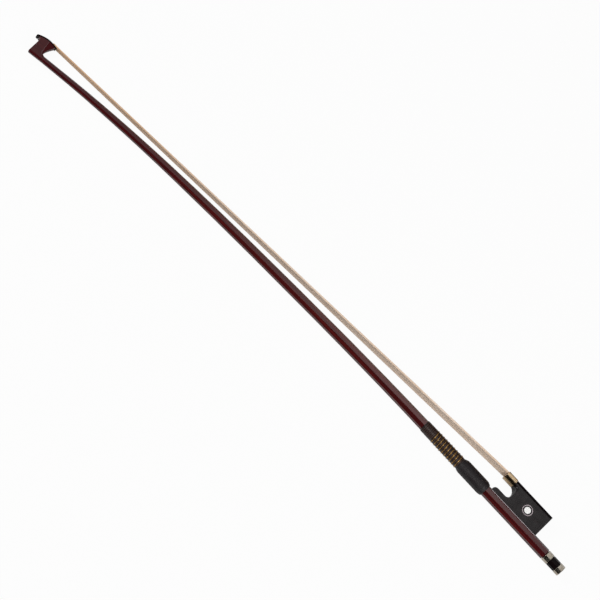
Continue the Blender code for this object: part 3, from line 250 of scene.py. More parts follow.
def varnished_bow_wood():
    # Brazilwood, stained plum red and French polished: dark lengthwise grain and short open pores under
    # a thin glossy coat. Both ends are painted darker, as painted shade where less light falls.
    material, tree, place = new_material("varnished_bow_wood")
    # Growth lines 0.3 to 1 mm apart run the length of the stick
    along_grain = add(tree, "ShaderNodeMapping", Vector=place, Scale=(8.0, 900.0, 900.0))
    grain = add(tree, "ShaderNodeTexNoise", Vector=along_grain, Scale=1.0, Detail=4.0, Roughness=0.6)
    broad = add(tree, "ShaderNodeMapping", Vector=place, Scale=(5.0, 220.0, 220.0))
    bands = add(tree, "ShaderNodeTexNoise", Vector=broad, Scale=1.0, Detail=2.0)
    # Pores are 0.1 mm wide and a few millimetres long in the real wood; drawn 0.25 mm wide so they show
    pore_place = add(tree, "ShaderNodeMapping", Vector=place, Scale=(160.0, 3600.0, 3600.0))
    pores = add(tree, "ShaderNodeTexNoise", Vector=pore_place, Scale=1.0, Detail=1.0)
    pore_mask = add(tree, "ShaderNodeMapRange", Value=pores, From_Min=0.64, From_Max=0.74,
                    To_Min=0.0, To_Max=0.45)
    stain = add(tree, "ShaderNodeValToRGB", {"stops": ((0.3, "#2E0607"), (0.5, "#480C0C"), (0.7, "#631916"))},
                Fac=grain)
    cloudy = add(tree, "ShaderNodeMapRange", Value=bands, From_Min=0.35, From_Max=0.65,
                 To_Min=0.0, To_Max=0.6)
    stain = add(tree, "ShaderNodeMix", {"data_type": "RGBA"}, Factor_Float=cloudy, A_Color=stain,
                B_Color=hex_colour("#340708"))
    along = add(tree, "ShaderNodeSeparateXYZ", Vector=place).outputs["X"]
    # Painted shade: the colour darkens towards the head and towards the butt, where less light falls
    shade_to_head = add(tree, "ShaderNodeMapRange", Value=along, From_Min=-0.06, From_Max=-0.22,
                  To_Min=0.0, To_Max=0.65)
    shade_to_butt = add(tree, "ShaderNodeMapRange", Value=along, From_Min=0.19, From_Max=0.23,
                  To_Min=0.0, To_Max=0.6)
    shade_at_ends = add(tree, "ShaderNodeMath", {"operation": "MAXIMUM"}, Value=shade_to_head, Value_001=shade_to_butt)
    stain = add(tree, "ShaderNodeMix", {"data_type": "RGBA"}, Factor_Float=shade_at_ends, A_Color=stain,
                B_Color=hex_colour("#37070E"))
    stain = add(tree, "ShaderNodeMix", {"data_type": "RGBA"}, Factor_Float=pore_mask, A_Color=stain,
                B_Color=hex_colour("#140505"))
    hollow = add(tree, "ShaderNodeMath", {"operation": "SUBTRACT"}, Value=grain, Value_001=pore_mask)
    relief = add(tree, "ShaderNodeBump", Height=hollow, Distance=0.02 * MM, Strength=0.3)
    polish = add(tree, "ShaderNodeMapRange", Value=grain, From_Min=0.3, From_Max=0.7, To_Min=0.52, To_Max=0.4)
    shader = add(tree, "ShaderNodeBsdfPrincipled", Base_Color=stain, Roughness=polish, Normal=relief,
                 IOR=1.5, Specular_IOR_Level=0.08, Coat_Weight=0.85, Coat_Roughness=0.12, Coat_IOR=1.5)
    add(tree, "ShaderNodeOutputMaterial", Surface=shader)
    return material


def oiled_ebony(name, shine):
    # Ebony, filed, scraped and burnished with oil: nearly black with violet-brown streaks, a soft
    # satin shine and very fine pores. The button's is duller than the frog's.
    material, tree, place = new_material(name)
    along_grain = add(tree, "ShaderNodeMapping", Vector=place, Scale=(20.0, 420.0, 420.0))
    grain = add(tree, "ShaderNodeTexNoise", Vector=along_grain, Scale=1.0, Detail=4.0, Roughness=0.6)
    clouds = add(tree, "ShaderNodeTexNoise", Vector=place, Scale=140.0, Detail=2.0)
    pore_place = add(tree, "ShaderNodeMapping", Vector=place, Scale=(260.0, 4200.0, 4200.0))
    pores = add(tree, "ShaderNodeTexNoise", Vector=pore_place, Scale=1.0, Detail=1.0)
    pore_mask = add(tree, "ShaderNodeMapRange", Value=pores, From_Min=0.64, From_Max=0.74,
                    To_Min=0.0, To_Max=0.6)
    tone = add(tree, "ShaderNodeValToRGB", {"stops": (
        (0.3, "#0A0606"), (0.55, "#120B0C"), (0.75, "#1E1417"))}, Fac=grain)
    cloudy = add(tree, "ShaderNodeMapRange", Value=clouds, From_Min=0.4, From_Max=0.7, To_Min=0.0, To_Max=0.5)
    tone = add(tree, "ShaderNodeMix", {"data_type": "RGBA"}, Factor_Float=cloudy, A_Color=tone,
               B_Color=hex_colour("#0F0A0B"))
    tone = add(tree, "ShaderNodeMix", {"data_type": "RGBA"}, Factor_Float=pore_mask, A_Color=tone,
               B_Color=hex_colour("#050304"))
    relief = add(tree, "ShaderNodeBump", Height=pore_mask, Distance=0.02 * MM, Strength=0.4)
    relief.invert = True
    worn = add(tree, "ShaderNodeMapRange", Value=clouds, From_Min=0.35, From_Max=0.7,
               To_Min=0.22, To_Max=0.32)
    shader = add(tree, "ShaderNodeBsdfPrincipled", Base_Color=tone, Roughness=worn, Normal=relief, IOR=1.5,
                 Specular_IOR_Level=shine)
    add(tree, "ShaderNodeOutputMaterial", Surface=shader)
    return material


def polished_nickel_silver(name, pale, dull):
    # Nickel silver, pressed or turned and hand polished: warm grey metal with faint lengthwise buffing
    # lines, and a cloudier, browner shine where fingers touch it.
    material, tree, place = new_material(name)
    # Buffing lines are a few hundredths of a millimetre apart; drawn 0.15 mm apart so they show
    buffed = add(tree, "ShaderNodeMapping", Vector=place, Scale=(300.0, 6500.0, 6500.0))
    buff = add(tree, "ShaderNodeTexNoise", Vector=buffed, Scale=1.0, Detail=2.0)
    touch = add(tree, "ShaderNodeTexNoise", Vector=place, Scale=420.0, Detail=3.0)
    tone = add(tree, "ShaderNodeValToRGB", {"stops": ((0.35, dull), (0.65, pale))}, Fac=touch)
    lines = add(tree, "ShaderNodeMapRange", Value=buff, From_Min=0.3, From_Max=0.7, To_Min=0.0, To_Max=0.05)
    haze = add(tree, "ShaderNodeMapRange", Value=touch, From_Min=0.35, From_Max=0.7, To_Min=0.17, To_Max=0.25)
    rough = add(tree, "ShaderNodeMath", {"operation": "ADD"}, Value=lines, Value_001=haze)
    relief = add(tree, "ShaderNodeBump", Height=buff, Distance=0.004 * MM, Strength=0.3)
    shader = add(tree, "ShaderNodeBsdfPrincipled", Base_Color=tone, Roughness=rough, Normal=relief,
                 Metallic=1.0)
    add(tree, "ShaderNodeOutputMaterial", Surface=shader)
    return material


def mother_of_pearl():
    # Mother-of-pearl, sawn from shell, inlaid and polished: a white ground with soft wavy growth
    # layers that turn faintly pink and green under a glassy surface.
    material, tree, place = new_material("mother_of_pearl")
    shell = add(tree, "ShaderNodeMapping", Vector=place, Scale=(360.0, 560.0, 560.0))
    layers = add(tree, "ShaderNodeTexWave", {"wave_type": "BANDS", "bands_direction": "DIAGONAL"},
                 Vector=shell, Scale=1.2, Distortion=5.0, Detail=2.0).outputs["Fac"]
    tone = add(tree, "ShaderNodeValToRGB", {"stops": ((0.0, "#F5F4F0"), (0.3, "#ECE4E8"), (0.55, "#F8F8F4"),
                                                      (0.8, "#E4EDE8"), (1.0, "#FAF8F5"))}, Fac=layers)
    relief = add(tree, "ShaderNodeBump", Height=layers, Distance=0.01 * MM, Strength=0.2)
    shader = add(tree, "ShaderNodeBsdfPrincipled", Base_Color=tone, Normal=relief, Roughness=0.18, IOR=1.53,
                 Coat_Weight=0.6, Coat_Roughness=0.06)
    add(tree, "ShaderNodeOutputMaterial", Surface=shader)
    return material


def moulded_black_plastic():
    # Moulded ABS, glued on and filed flush with the wood: deep black with a low even gloss.
    material, tree, place = new_material("moulded_black_plastic")
    filed = add(tree, "ShaderNodeMapping", Vector=place, Scale=(900.0, 5000.0, 5000.0))
    file_marks = add(tree, "ShaderNodeTexNoise", Vector=filed, Scale=1.0, Detail=2.0)
    tone = add(tree, "ShaderNodeValToRGB", {"stops": ((0.3, "#0E0909"), (0.7, "#1A1111"))}, Fac=file_marks)
    gloss = add(tree, "ShaderNodeMapRange", Value=file_marks, From_Min=0.3, From_Max=0.7,
                To_Min=0.36, To_Max=0.46)
    relief = add(tree, "ShaderNodeBump", Height=file_marks, Distance=0.006 * MM, Strength=0.3)
    shader = add(tree, "ShaderNodeBsdfPrincipled", Base_Color=tone, Roughness=gloss, Normal=relief, IOR=1.5,
                 Specular_IOR_Level=0.1)
    add(tree, "ShaderNodeOutputMaterial", Surface=shader)
    return material


def pared_goat_leather():
    # Thin goatskin, pared at its ends and glued round the stick: black-brown, with pebbled grain
    # and a dull shine along its crown. Its 0.25 mm grain is drawn at 0.45 mm so that it shows.
    material, tree, place = new_material("pared_goat_leather")
    pebbles = add(tree, "ShaderNodeTexVoronoi", {"feature": "DISTANCE_TO_EDGE"}, Vector=place,
                  Scale=2200.0).outputs["Distance"]
    creased = add(tree, "ShaderNodeMapping", Vector=place, Scale=(420.0, 900.0, 900.0))
    creases = add(tree, "ShaderNodeTexNoise", Vector=creased, Scale=1.0, Detail=4.0, Roughness=0.65)
    worn = add(tree, "ShaderNodeTexNoise", Vector=place, Scale=130.0, Detail=2.0)
    tone = add(tree, "ShaderNodeValToRGB", {"stops": ((0.3, "#0F0A0C"), (0.7, "#20181B"))}, Fac=creases)
    # Painted shade: the hollows between the pebbles are darkened
    shaded_valleys = add(tree, "ShaderNodeMapRange", Value=pebbles, From_Min=0.0, From_Max=0.12,
                  To_Min=0.5, To_Max=0.0)
    tone = add(tree, "ShaderNodeMix", {"data_type": "RGBA"}, Factor_Float=shaded_valleys, A_Color=tone,
               B_Color=hex_colour("#0A0708"))
    domes = add(tree, "ShaderNodeMapRange", Value=pebbles, From_Min=0.0, From_Max=0.2, To_Min=0.0, To_Max=1.0)
    height = add(tree, "ShaderNodeMath", {"operation": "ADD"}, Value=domes, Value_001=creases)
    relief = add(tree, "ShaderNodeBump", Height=height, Distance=0.04 * MM, Strength=0.6)
    shine = add(tree, "ShaderNodeMapRange", Value=worn, From_Min=0.35, From_Max=0.65,
                To_Min=0.42, To_Max=0.58)
    shader = add(tree, "ShaderNodeBsdfPrincipled", Base_Color=tone, Roughness=shine, Normal=relief, IOR=1.45)
    add(tree, "ShaderNodeOutputMaterial", Surface=shader)
    return material


def wound_silk_thread(name, dark, pale):
    # Waxed silk thread, spun of two plies that catch a small highlight on each turn. The plies are
    # 0.1 mm wide and are drawn at 0.3 mm.
    material, tree, place = new_material(name)
    spun = add(tree, "ShaderNodeMapping", Vector=place, Scale=(900.0, 900.0, 900.0))
    plies = add(tree, "ShaderNodeTexWave", {"wave_type": "BANDS", "bands_direction": "DIAGONAL"},
                Vector=spun, Scale=1.0, Distortion=1.0).outputs["Fac"]
    fuzz = add(tree, "ShaderNodeTexNoise", Vector=place, Scale=1500.0, Detail=3.0)
    tone = add(tree, "ShaderNodeValToRGB", {"stops": ((0.3, dark), (0.7, pale))}, Fac=fuzz)
    relief = add(tree, "ShaderNodeBump", Height=plies, Distance=0.03 * MM, Strength=0.5)
    wax = add(tree, "ShaderNodeMapRange", Value=fuzz, From_Min=0.3, From_Max=0.7, To_Min=0.4, To_Max=0.55)
    shader = add(tree, "ShaderNodeBsdfPrincipled", Base_Color=tone, Roughness=wax, Normal=relief, IOR=1.5)
    add(tree, "ShaderNodeOutputMaterial", Surface=shader)
    return material


def gilt_tinsel():
    # Flattened brass wire with a worn gilt finish, wound over the thread: old gold with tiny dents.
    material, tree, place = new_material("gilt_tinsel")
    dents = add(tree, "ShaderNodeTexNoise", Vector=place, Scale=2500.0, Detail=2.0)
    tone = add(tree, "ShaderNodeValToRGB", {"stops": ((0.3, "#A07C46"), (0.7, "#C89C5C"))}, Fac=dents)
    rough = add(tree, "ShaderNodeMapRange", Value=dents, From_Min=0.3, From_Max=0.7, To_Min=0.34, To_Max=0.5)
    relief = add(tree, "ShaderNodeBump", Height=dents, Distance=0.02 * MM, Strength=0.3)
    shader = add(tree, "ShaderNodeBsdfPrincipled", Base_Color=tone, Roughness=rough, Normal=relief,
                 Metallic=1.0)
    add(tree, "ShaderNodeOutputMaterial", Surface=shader)
    return material


def bleached_horsehair():
    # Bleached horsehair combed with rosin: straw and cream hairs side by side, with a silky
    # lengthwise shine. Real hairs are 0.2 mm thick and are drawn as 0.3 mm. Towards the head it is painted
    # darker and browner, as painted shade where less light reaches.
    material, tree, place = new_material("bleached_horsehair")
    combed = add(tree, "ShaderNodeMapping", Vector=place, Scale=(4.0, 3200.0, 3200.0))
    strands = add(tree, "ShaderNodeTexNoise", Vector=combed, Scale=1.0, Detail=2.0)
    long_place = add(tree, "ShaderNodeMapping", Vector=place, Scale=(20.0, 300.0, 300.0))
    lengths = add(tree, "ShaderNodeTexNoise", Vector=long_place, Scale=1.0, Detail=2.0)
    tone = add(tree, "ShaderNodeValToRGB", {"stops": ((0.3, "#DABB9E"), (0.5, "#E6CDB6"), (0.72, "#F0DFD0"))},
               Fac=strands)
    dusty = add(tree, "ShaderNodeMapRange", Value=lengths, From_Min=0.4, From_Max=0.7, To_Min=0.0, To_Max=0.2)
    tone = add(tree, "ShaderNodeMix", {"data_type": "RGBA"}, Factor_Float=dusty, A_Color=tone,
               B_Color=hex_colour("#D2B193"))
    along = add(tree, "ShaderNodeSeparateXYZ", Vector=place).outputs["X"]
    # Painted shade: darker and browner towards the head, where less light reaches
    shade_to_head = add(tree, "ShaderNodeMapRange", Value=along, From_Min=-0.04, From_Max=-0.235,
                  To_Min=0.0, To_Max=0.75)
    tone = add(tree, "ShaderNodeMix", {"data_type": "RGBA"}, Factor_Float=shade_to_head, A_Color=tone,
               B_Color=hex_colour("#C4935F"))
    silky = add(tree, "ShaderNodeMapRange", Value=strands, From_Min=0.3, From_Max=0.7,
                To_Min=0.5, To_Max=0.38)
    shader = add(tree, "ShaderNodeBsdfPrincipled", Base_Color=tone, Roughness=silky, IOR=1.55,
                 Sheen_Weight=0.15, Sheen_Roughness=0.4)
    add(tree, "ShaderNodeOutputMaterial", Surface=shader)
    return material


def planed_maple():
    # Plain maple, split and planed for wedges: pale, with fine growth lines.
    material, tree, place = new_material("planed_maple")
    along_grain = add(tree, "ShaderNodeMapping", Vector=place, Scale=(60.0, 1400.0, 1400.0))
    lines = add(tree, "ShaderNodeTexNoise", Vector=along_grain, Scale=1.0, Detail=3.0)
    tone = add(tree, "ShaderNodeValToRGB", {"stops": ((0.3, "#B98F62"), (0.7, "#DDBD90"))}, Fac=lines)
    rough = add(tree, "ShaderNodeMapRange", Value=lines, From_Min=0.3, From_Max=0.7, To_Min=0.65, To_Max=0.5)
    relief = add(tree, "ShaderNodeBump", Height=lines, Distance=0.02 * MM, Strength=0.4)
    shader = add(tree, "ShaderNodeBsdfPrincipled", Base_Color=tone, Roughness=rough, Normal=relief, IOR=1.5)
    add(tree, "ShaderNodeOutputMaterial", Surface=shader)
    return material


def turned_metal(name, pale, dull):
    # Rod turned on a lathe and cut with a die: bright rings of tool marks with duller oily ones between.
    # The marks are finer than 0.1 mm and are drawn at 0.25 mm.
    material, tree, place = new_material(name)
    turned = add(tree, "ShaderNodeMapping", Vector=place, Scale=(4000.0, 400.0, 400.0))
    rings = add(tree, "ShaderNodeTexNoise", Vector=turned, Scale=1.0, Detail=2.0)
    tone = add(tree, "ShaderNodeValToRGB", {"stops": ((0.3, dull), (0.7, pale))}, Fac=rings)
    rough = add(tree, "ShaderNodeMapRange", Value=rings, From_Min=0.3, From_Max=0.7, To_Min=0.42, To_Max=0.24)
    relief = add(tree, "ShaderNodeBump", Height=rings, Distance=0.012 * MM, Strength=0.4)
    shader = add(tree, "ShaderNodeBsdfPrincipled", Base_Color=tone, Roughness=rough, Normal=relief,
                 Metallic=1.0)
    add(tree, "ShaderNodeOutputMaterial", Surface=shader)
    return material


def bound_hair_knot():
    # The hair's tied end, wound with thread and sealed with burnt rosin: dark, hard and shiny.
    material, tree, place = new_material("bound_hair_knot")
    wound = add(tree, "ShaderNodeMapping", Vector=place, Scale=(900.0, 900.0, 3600.0))
    turns = add(tree, "ShaderNodeTexNoise", Vector=wound, Scale=1.0, Detail=3.0)
    tone = add(tree, "ShaderNodeValToRGB", {"stops": ((0.3, "#2A1810"), (0.7, "#6A4527"))}, Fac=turns)
    rough = add(tree, "ShaderNodeMapRange", Value=turns, From_Min=0.3, From_Max=0.7, To_Min=0.35, To_Max=0.55)
    relief = add(tree, "ShaderNodeBump", Height=turns, Distance=0.03 * MM, Strength=0.6)
    shader = add(tree, "ShaderNodeBsdfPrincipled", Base_Color=tone, Roughness=rough, Normal=relief, IOR=1.5,
                 Coat_Weight=0.4, Coat_Roughness=0.2)
    add(tree, "ShaderNodeOutputMaterial", Surface=shader)
    return material


wood = varnished_bow_wood()
ebony = oiled_ebony("oiled_ebony", 0.45)
button_ebony = oiled_ebony("dull_ebony", 0.08)
button_metal = polished_nickel_silver("polished_nickel_silver", "#C9C0B2", "#B0A595")
eye_metal = polished_nickel_silver("rubbed_nickel_silver", "#C3B7BA", "#A3989B")
ferrule_metal = polished_nickel_silver("handled_nickel_silver", "#D8BE9A", "#C0A27C")
pearl = mother_of_pearl()
plastic = moulded_black_plastic()
leather = pared_goat_leather()
dark_thread = wound_silk_thread("dark_silk_thread", "#0E0403", "#200C07")
pale_thread = wound_silk_thread("brown_silk_thread", "#28150E", "#42281B")
tinsel = gilt_tinsel()
horsehair = bleached_horsehair()
maple = planed_maple()
brass = turned_metal("turned_brass", "#D2AE63", "#A9843F")
steel = turned_metal("cut_steel", "#B5B3AF", "#85827E")
knot = bound_hair_knot()


# Stick and head

def shape_stick():
    """The stick, with the long edges of its octagon eased."""
    piece = copy_of("stick", "bow_stick")
    to_edit(piece, "EDGE")
    head_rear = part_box("tip_plate")[1].x

    def long_edge(edge):
        if len(edge.link_faces) != 2:
            return False
        a, b = (v.co for v in edge.verts)
        turned = math.degrees(edge.calc_face_angle(0.0))
        return abs(b.x - a.x) > 4.0 * MM and 30.0 < turned < 60.0 and (a.x + b.x) / 2.0 > head_rear

    pick_edges(piece, long_edge)
    bpy.ops.mesh.bevel(offset=STICK_EDGE_EASE, segments=3, affect="EDGES", clamp_overlap=True)
    to_object()
    smooth(piece, 28.0)
    apply(piece, "WEIGHTED_NORMAL", keep_sharp=True)
    finish_piece(piece, "stick", wood, "bow_wood", "stick")


def shape_tip_plate():
    piece = copy_of("tip_plate", "head_plate")
    break_edges(piece, 0.15 * MM)
    finish_piece(piece, "stick", plastic, "black_plastic", "tip_plate")


shape_stick()
shape_tip_plate()


# Grip: leather and wound thread

def tube_round_stick(name, x_low, x_high, rings, segments):
    """A plain open tube round the stick's axis, cut into rings so that it can follow a CAD sleeve."""
    bpy.ops.object.select_all(action="DESELECT")
    bpy.ops.mesh.primitive_cylinder_add(vertices=segments, radius=SLEEVE_START, depth=x_high - x_low,
                                        end_fill_type="NOTHING", rotation=(0.0, math.pi / 2.0, 0.0),
                                        location=((x_low + x_high) / 2.0, AXIS_Y, AXIS_Z))
    piece = bpy.context.object
    piece.name = piece.data.name = name
    settle(piece)
    to_edit(piece, "EDGE")
    pick_edges(piece, lambda edge: abs(edge.verts[0].co.x - edge.verts[1].co.x) > 0.5 * (x_high - x_low))
    bpy.ops.mesh.subdivide(number_cuts=rings - 1)
    to_object()
    return piece


def draw_onto(piece, node, ends, base_radius, lift):
    """Each point goes in or out along its direction from the axis: by its height over the base radius
    and by the lift, from the CAD sleeve's surface."""
    for vert in piece.data.vertices:
        turn = math.atan2(vert.co.z - AXIS_Z, vert.co.y - AXIS_Y)
        over = math.hypot(vert.co.z - AXIS_Z, vert.co.y - AXIS_Y) - base_radius
        x = min(max(vert.co.x, ends[0] + 0.02 * MM), ends[1] - 0.02 * MM)
        reach = surface_reach(node, x, turn) + over + lift(vert.co.x, turn)
        vert.co = Vector((vert.co.x, AXIS_Y + reach * math.cos(turn), AXIS_Z + reach * math.sin(turn)))


def leather_lift(x, turn):
    """The butted seam on the hair side sinks a little, and the skin is slightly wavy from the glue."""
    seam = math.exp(-(turn / 0.035) ** 2)
    wave = math.sin(x * 1900.0 + math.sin(turn * 3.0) * 1.5) * math.sin(turn * 2.0 + x * 300.0)
    return -LEATHER_SEAM_DEPTH * seam - LEATHER_CLEAR + LEATHER_WAVE * wave


def shape_leather():
    """One strip of leather round the stick, its two cut edges meeting in a seam on the hair side."""
    piece = tube_round_stick("thumb_leather_sleeve", *LEATHER_X, rings=60, segments=96)
    draw_onto(piece, "thumb_leather", LEATHER_X, SLEEVE_START, leather_lift)
    apply(piece, "SOLIDIFY", thickness=LEATHER_THICKNESS, offset=-1.0)
    smooth(piece, 40.0)
    finish_piece(piece, "stick", leather, "leather", "thumb_leather")


def wind_thread(name, start_x, turns, pitch, material):
    """A thread's cross-section swept round the axis and drawn onto the CAD winding."""
    bpy.ops.object.select_all(action="DESELECT")
    bpy.ops.mesh.primitive_circle_add(vertices=6, radius=THREAD_RADIUS, fill_type="NOTHING")
    piece = bpy.context.object
    piece.name = piece.data.name = name
    to_edit(piece, action="SELECT")
    bpy.ops.transform.resize(value=(pitch / 4.0 / THREAD_RADIUS, 1.0, 1.0))
    bpy.ops.transform.translate(value=(start_x, COIL_START, 0.0))
    to_object()
    apply(piece, "SCREW", axis="X", angle=2.0 * math.pi, screw_offset=pitch, iterations=turns,
          steps=32, render_steps=32, use_smooth_shade=True)
    piece.location = (0.0, AXIS_Y, AXIS_Z)
    settle(piece)
    draw_onto(piece, "winding_thread", WINDING_X, COIL_START, lambda x, turn: -THREAD_RADIUS)
    to_edit(piece, "EDGE")
    bpy.ops.mesh.select_non_manifold()
    bpy.ops.mesh.edge_face_add()
    bpy.ops.mesh.select_all(action="SELECT")
    bpy.ops.mesh.normals_make_consistent(inside=False)
    to_object()
    smooth(piece, 60.0)
    piece.data.materials.append(material)
    return piece


def shape_winding():
    """A dark and a brown thread wound side by side over a thin underlayer, in the CAD sleeve's place."""
    low, high = WINDING_X
    turns = round((high - low) / THREAD_PITCH) - 1
    pitch = (high - low - 2.0 * THREAD_RADIUS) / (turns + 0.75)
    bed = tube_round_stick("wound_thread", low, high, rings=20, segments=48)
    draw_onto(bed, "winding_thread", WINDING_X, SLEEVE_START, lambda x, turn: -THREAD_RADIUS)
    apply(bed, "SOLIDIFY", thickness=BED_THICKNESS, offset=-1.0)
    smooth(bed, 40.0)
    bed.data.materials.append(dark_thread)
    first = low + THREAD_RADIUS + pitch / 8.0
    dark = wind_thread("dark_turns", first, turns, pitch, dark_thread)
    pale = wind_thread("pale_turns", first + pitch / 2.0, turns, pitch, pale_thread)
    alone(bed, dark, pale)
    bpy.ops.object.join()
    finish_piece(bed, "stick", None, "winding", "winding_thread")


def shape_tinsel():
    piece = copy_of("winding_tinsel", "gilt_wire")
    break_edges(piece, 0.05 * MM, 50.0)
    finish_piece(piece, "stick", tinsel, "tinsel", "winding_tinsel")


shape_leather()
shape_winding()
shape_tinsel()


# Frog and its fittings

def shape_frog():
    """The ebony block, with a narrow facet filed along each side of its base."""
    piece = copy_of("frog", "ebony_frog")
    to_edit(piece, action="SELECT")
    bpy.ops.mesh.bisect(plane_co=(0.0, FROG_BASE_Y - BASE_FACET, 0.0), plane_no=(0.0, 1.0, 0.0))
    bpy.ops.mesh.mark_sharp()
    to_object()
    for side in (-1.0, 1.0):
        pull_points(piece,
                    lambda co: co.y > FROG_BASE_Y - BASE_REACH and side * (co.z - AXIS_Z) > BASE_SIDE,
                    (0.0, 0.0, -side * BASE_FACET_INSET))
    break_edges(piece, 0.14 * MM, 50.0)
    finish_piece(piece, "frog", ebony, "ebony", "frog")


def shape_underslide():
    """The metal liner of the frog's groove. Its two lips are bent out to show as bright lines."""
    piece = copy_of("underslide", "frog_underslide")
    lips_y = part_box("underslide")[0].y + LIP_DEPTH
    for side in (-1.0, 1.0):
        pull_points(piece, lambda co: co.y < lips_y and side * (co.z - AXIS_Z) > LIP_OUTER,
                    (0.0, LIP_OUTER_SHIFT[0], side * LIP_OUTER_SHIFT[1]))
        pull_points(piece,
                    lambda co: co.y < lips_y and LIP_INNER[0] < side * (co.z - AXIS_Z) < LIP_INNER[1],
                    (0.0, LIP_INNER_SHIFT[0], side * LIP_INNER_SHIFT[1]))
    break_edges(piece, 0.04 * MM)
    finish_piece(piece, "frog", eye_metal, "nickel_silver", "underslide")


def shape_fitting(node, name, body, material, slot, width=0.08 * MM):
    """A small fitting keeps the CAD node's shape, with its edges broken by the width."""
    piece = copy_of(node, name)
    break_edges(piece, width)
    finish_piece(piece, body, material, slot, node)


shape_frog()
shape_fitting("ferrule", "d_shaped_ferrule", "frog", ferrule_metal, "nickel_silver")
shape_underslide()
shape_fitting("pearl_slide", "slide_pearl", "frog", pearl, "pearl")
shape_fitting("slide_base", "slide_back", "frog", ebony, "ebony", 0.04 * MM)
for side in ("left", "right"):
    shape_fitting(f"eye_ring_{side}", f"eye_band_{side}", "frog", eye_metal, "nickel_silver", 0.06 * MM)
    shape_fitting(f"eye_pearl_{side}", f"eye_dot_{side}", "frog", pearl, "pearl", 0.06 * MM)
shape_fitting("button_ring_front", "button_band_front", "screw", button_metal, "nickel_silver")
shape_fitting("button_ring_rear", "button_band_rear", "screw", button_metal, "nickel_silver")
shape_fitting("button_core", "button_middle", "screw", button_ebony, "ebony")

for name, material in (("head_plug", maple), ("frog_plug", maple), ("spread_wedge", maple),
                       ("hair_knot_head", knot), ("hair_knot_frog", knot), ("eyelet", brass),
                       ("adjuster_screw", steel), ("liner_pin_front", button_metal),
                       ("liner_pin_rear", button_metal)):
    nodes[name].data.materials.clear()
    nodes[name].data.materials.append(material)


# Hair

def hair_station(x):
    """Middle height, width and thickness of the hair at x, between the head's edge and the wedge."""
    stations = (HAIR_AT_EDGE, HAIR_AT_HEEL, HAIR_AT_FERRULE, HAIR_AT_WEDGE)
    for a, b in zip(stations, stations[1:]):
        if x <= b[0]:
            break
    share = min(1.0, max(0.0, (x - a[0]) / (b[0] - a[0])))
    return [p + (q - p) * share for p, q in zip(a[1:], b[1:])]


def lay_strands(count, spans):
    """Single hairs, each one long three-sided strand, laid side by side over the ribbon's surface."""
    low, high = HAIR_AT_EDGE[0] + 0.3 * MM, HAIR_AT_WEDGE[0] - 0.5 * MM
    bpy.ops.object.select_all(action="DESELECT")
    bpy.ops.mesh.primitive_cylinder_add(vertices=3, radius=STRAND_RADIUS, depth=1.0, end_fill_type="NGON",
                                        rotation=(0.0, math.pi / 2.0, 0.0), location=(0.5, 0.0, 0.0))
    model = bpy.context.object
    settle(model)
    to_edit(model, "EDGE")
    pick_edges(model, lambda edge: abs(edge.verts[0].co.x - edge.verts[1].co.x) > 0.5)
    bpy.ops.mesh.subdivide(number_cuts=spans - 1)
    to_object()
    pattern = np.array([v.co for v in model.data.vertices])
    strands = []
    for i in range(count):
        strand = model if i == 0 else model.copy()
        if i:
            strand.data = model.data.copy()
            bpy.context.scene.collection.objects.link(strand)
        # Places on the ribbon's cross-section: both broad faces and the two edges
        face = random.choice((-1.0, 1.0, 1.0, -1.0, 0.0))
        across = random.uniform(-1.0, 1.0) if face else random.choice((-1.0, 1.0))
        deep = face if face else random.uniform(-0.7, 0.7)
        drift = random.uniform(-0.05, 0.05)
        bow = random.uniform(-0.06, 0.06) * MM
        points = np.empty_like(pattern)
        for j, (t, y, z) in enumerate(pattern):
            x = low + (high - low) * t
            middle, width, thick = hair_station(x)
            lane = max(-1.0, min(1.0, across + drift * math.sin(math.pi * t * 2.0)))
            edge_round = 1.0 - 0.25 * abs(lane) ** 4
            points[j] = (x, middle + deep * (thick / 2.0 - STRAND_RADIUS) * edge_round + y
                         + bow * math.sin(math.pi * t),
                         AXIS_Z + lane * (width / 2.0 - STRAND_RADIUS) + z)
        strand.data.vertices.foreach_set("co", points.ravel())
        strands.append(strand)
    alone(*strands)
    bpy.ops.object.join()
    return model


def shape_hair():
    """The ribbon's core is the CAD hair, with single strands laid over it."""
    core = copy_of("hair", "hair_ribbon")
    strands = lay_strands(STRANDS, STRAND_SPANS)
    core.data.materials.append(horsehair)
    strands.data.materials.append(horsehair)
    alone(core, strands)
    bpy.ops.object.join()
    smooth(core, 60.0)
    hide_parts("hair")
    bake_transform(core)


shape_hair()


# Floor, light and camera

STRAIGHT_WHITE = 0.95                       # the paper's share of plain white, seen straight
MIRRORED_WHITE = 0.1                        # and in a polished piece
LAMP_SIDE = 0.9                             # metres
LAMP_POWER = 17.0                           # watts
CAMERA_ELEVATION = math.radians(63.5)
CAMERA_ROLL = math.radians(46.9)
CAMERA_DISTANCE = 3.0
PICTURE_WIDTH = 0.3966                      # at the bow
PICTURE_MIDDLE = (-0.001411, -0.001812, AXIS_Z)


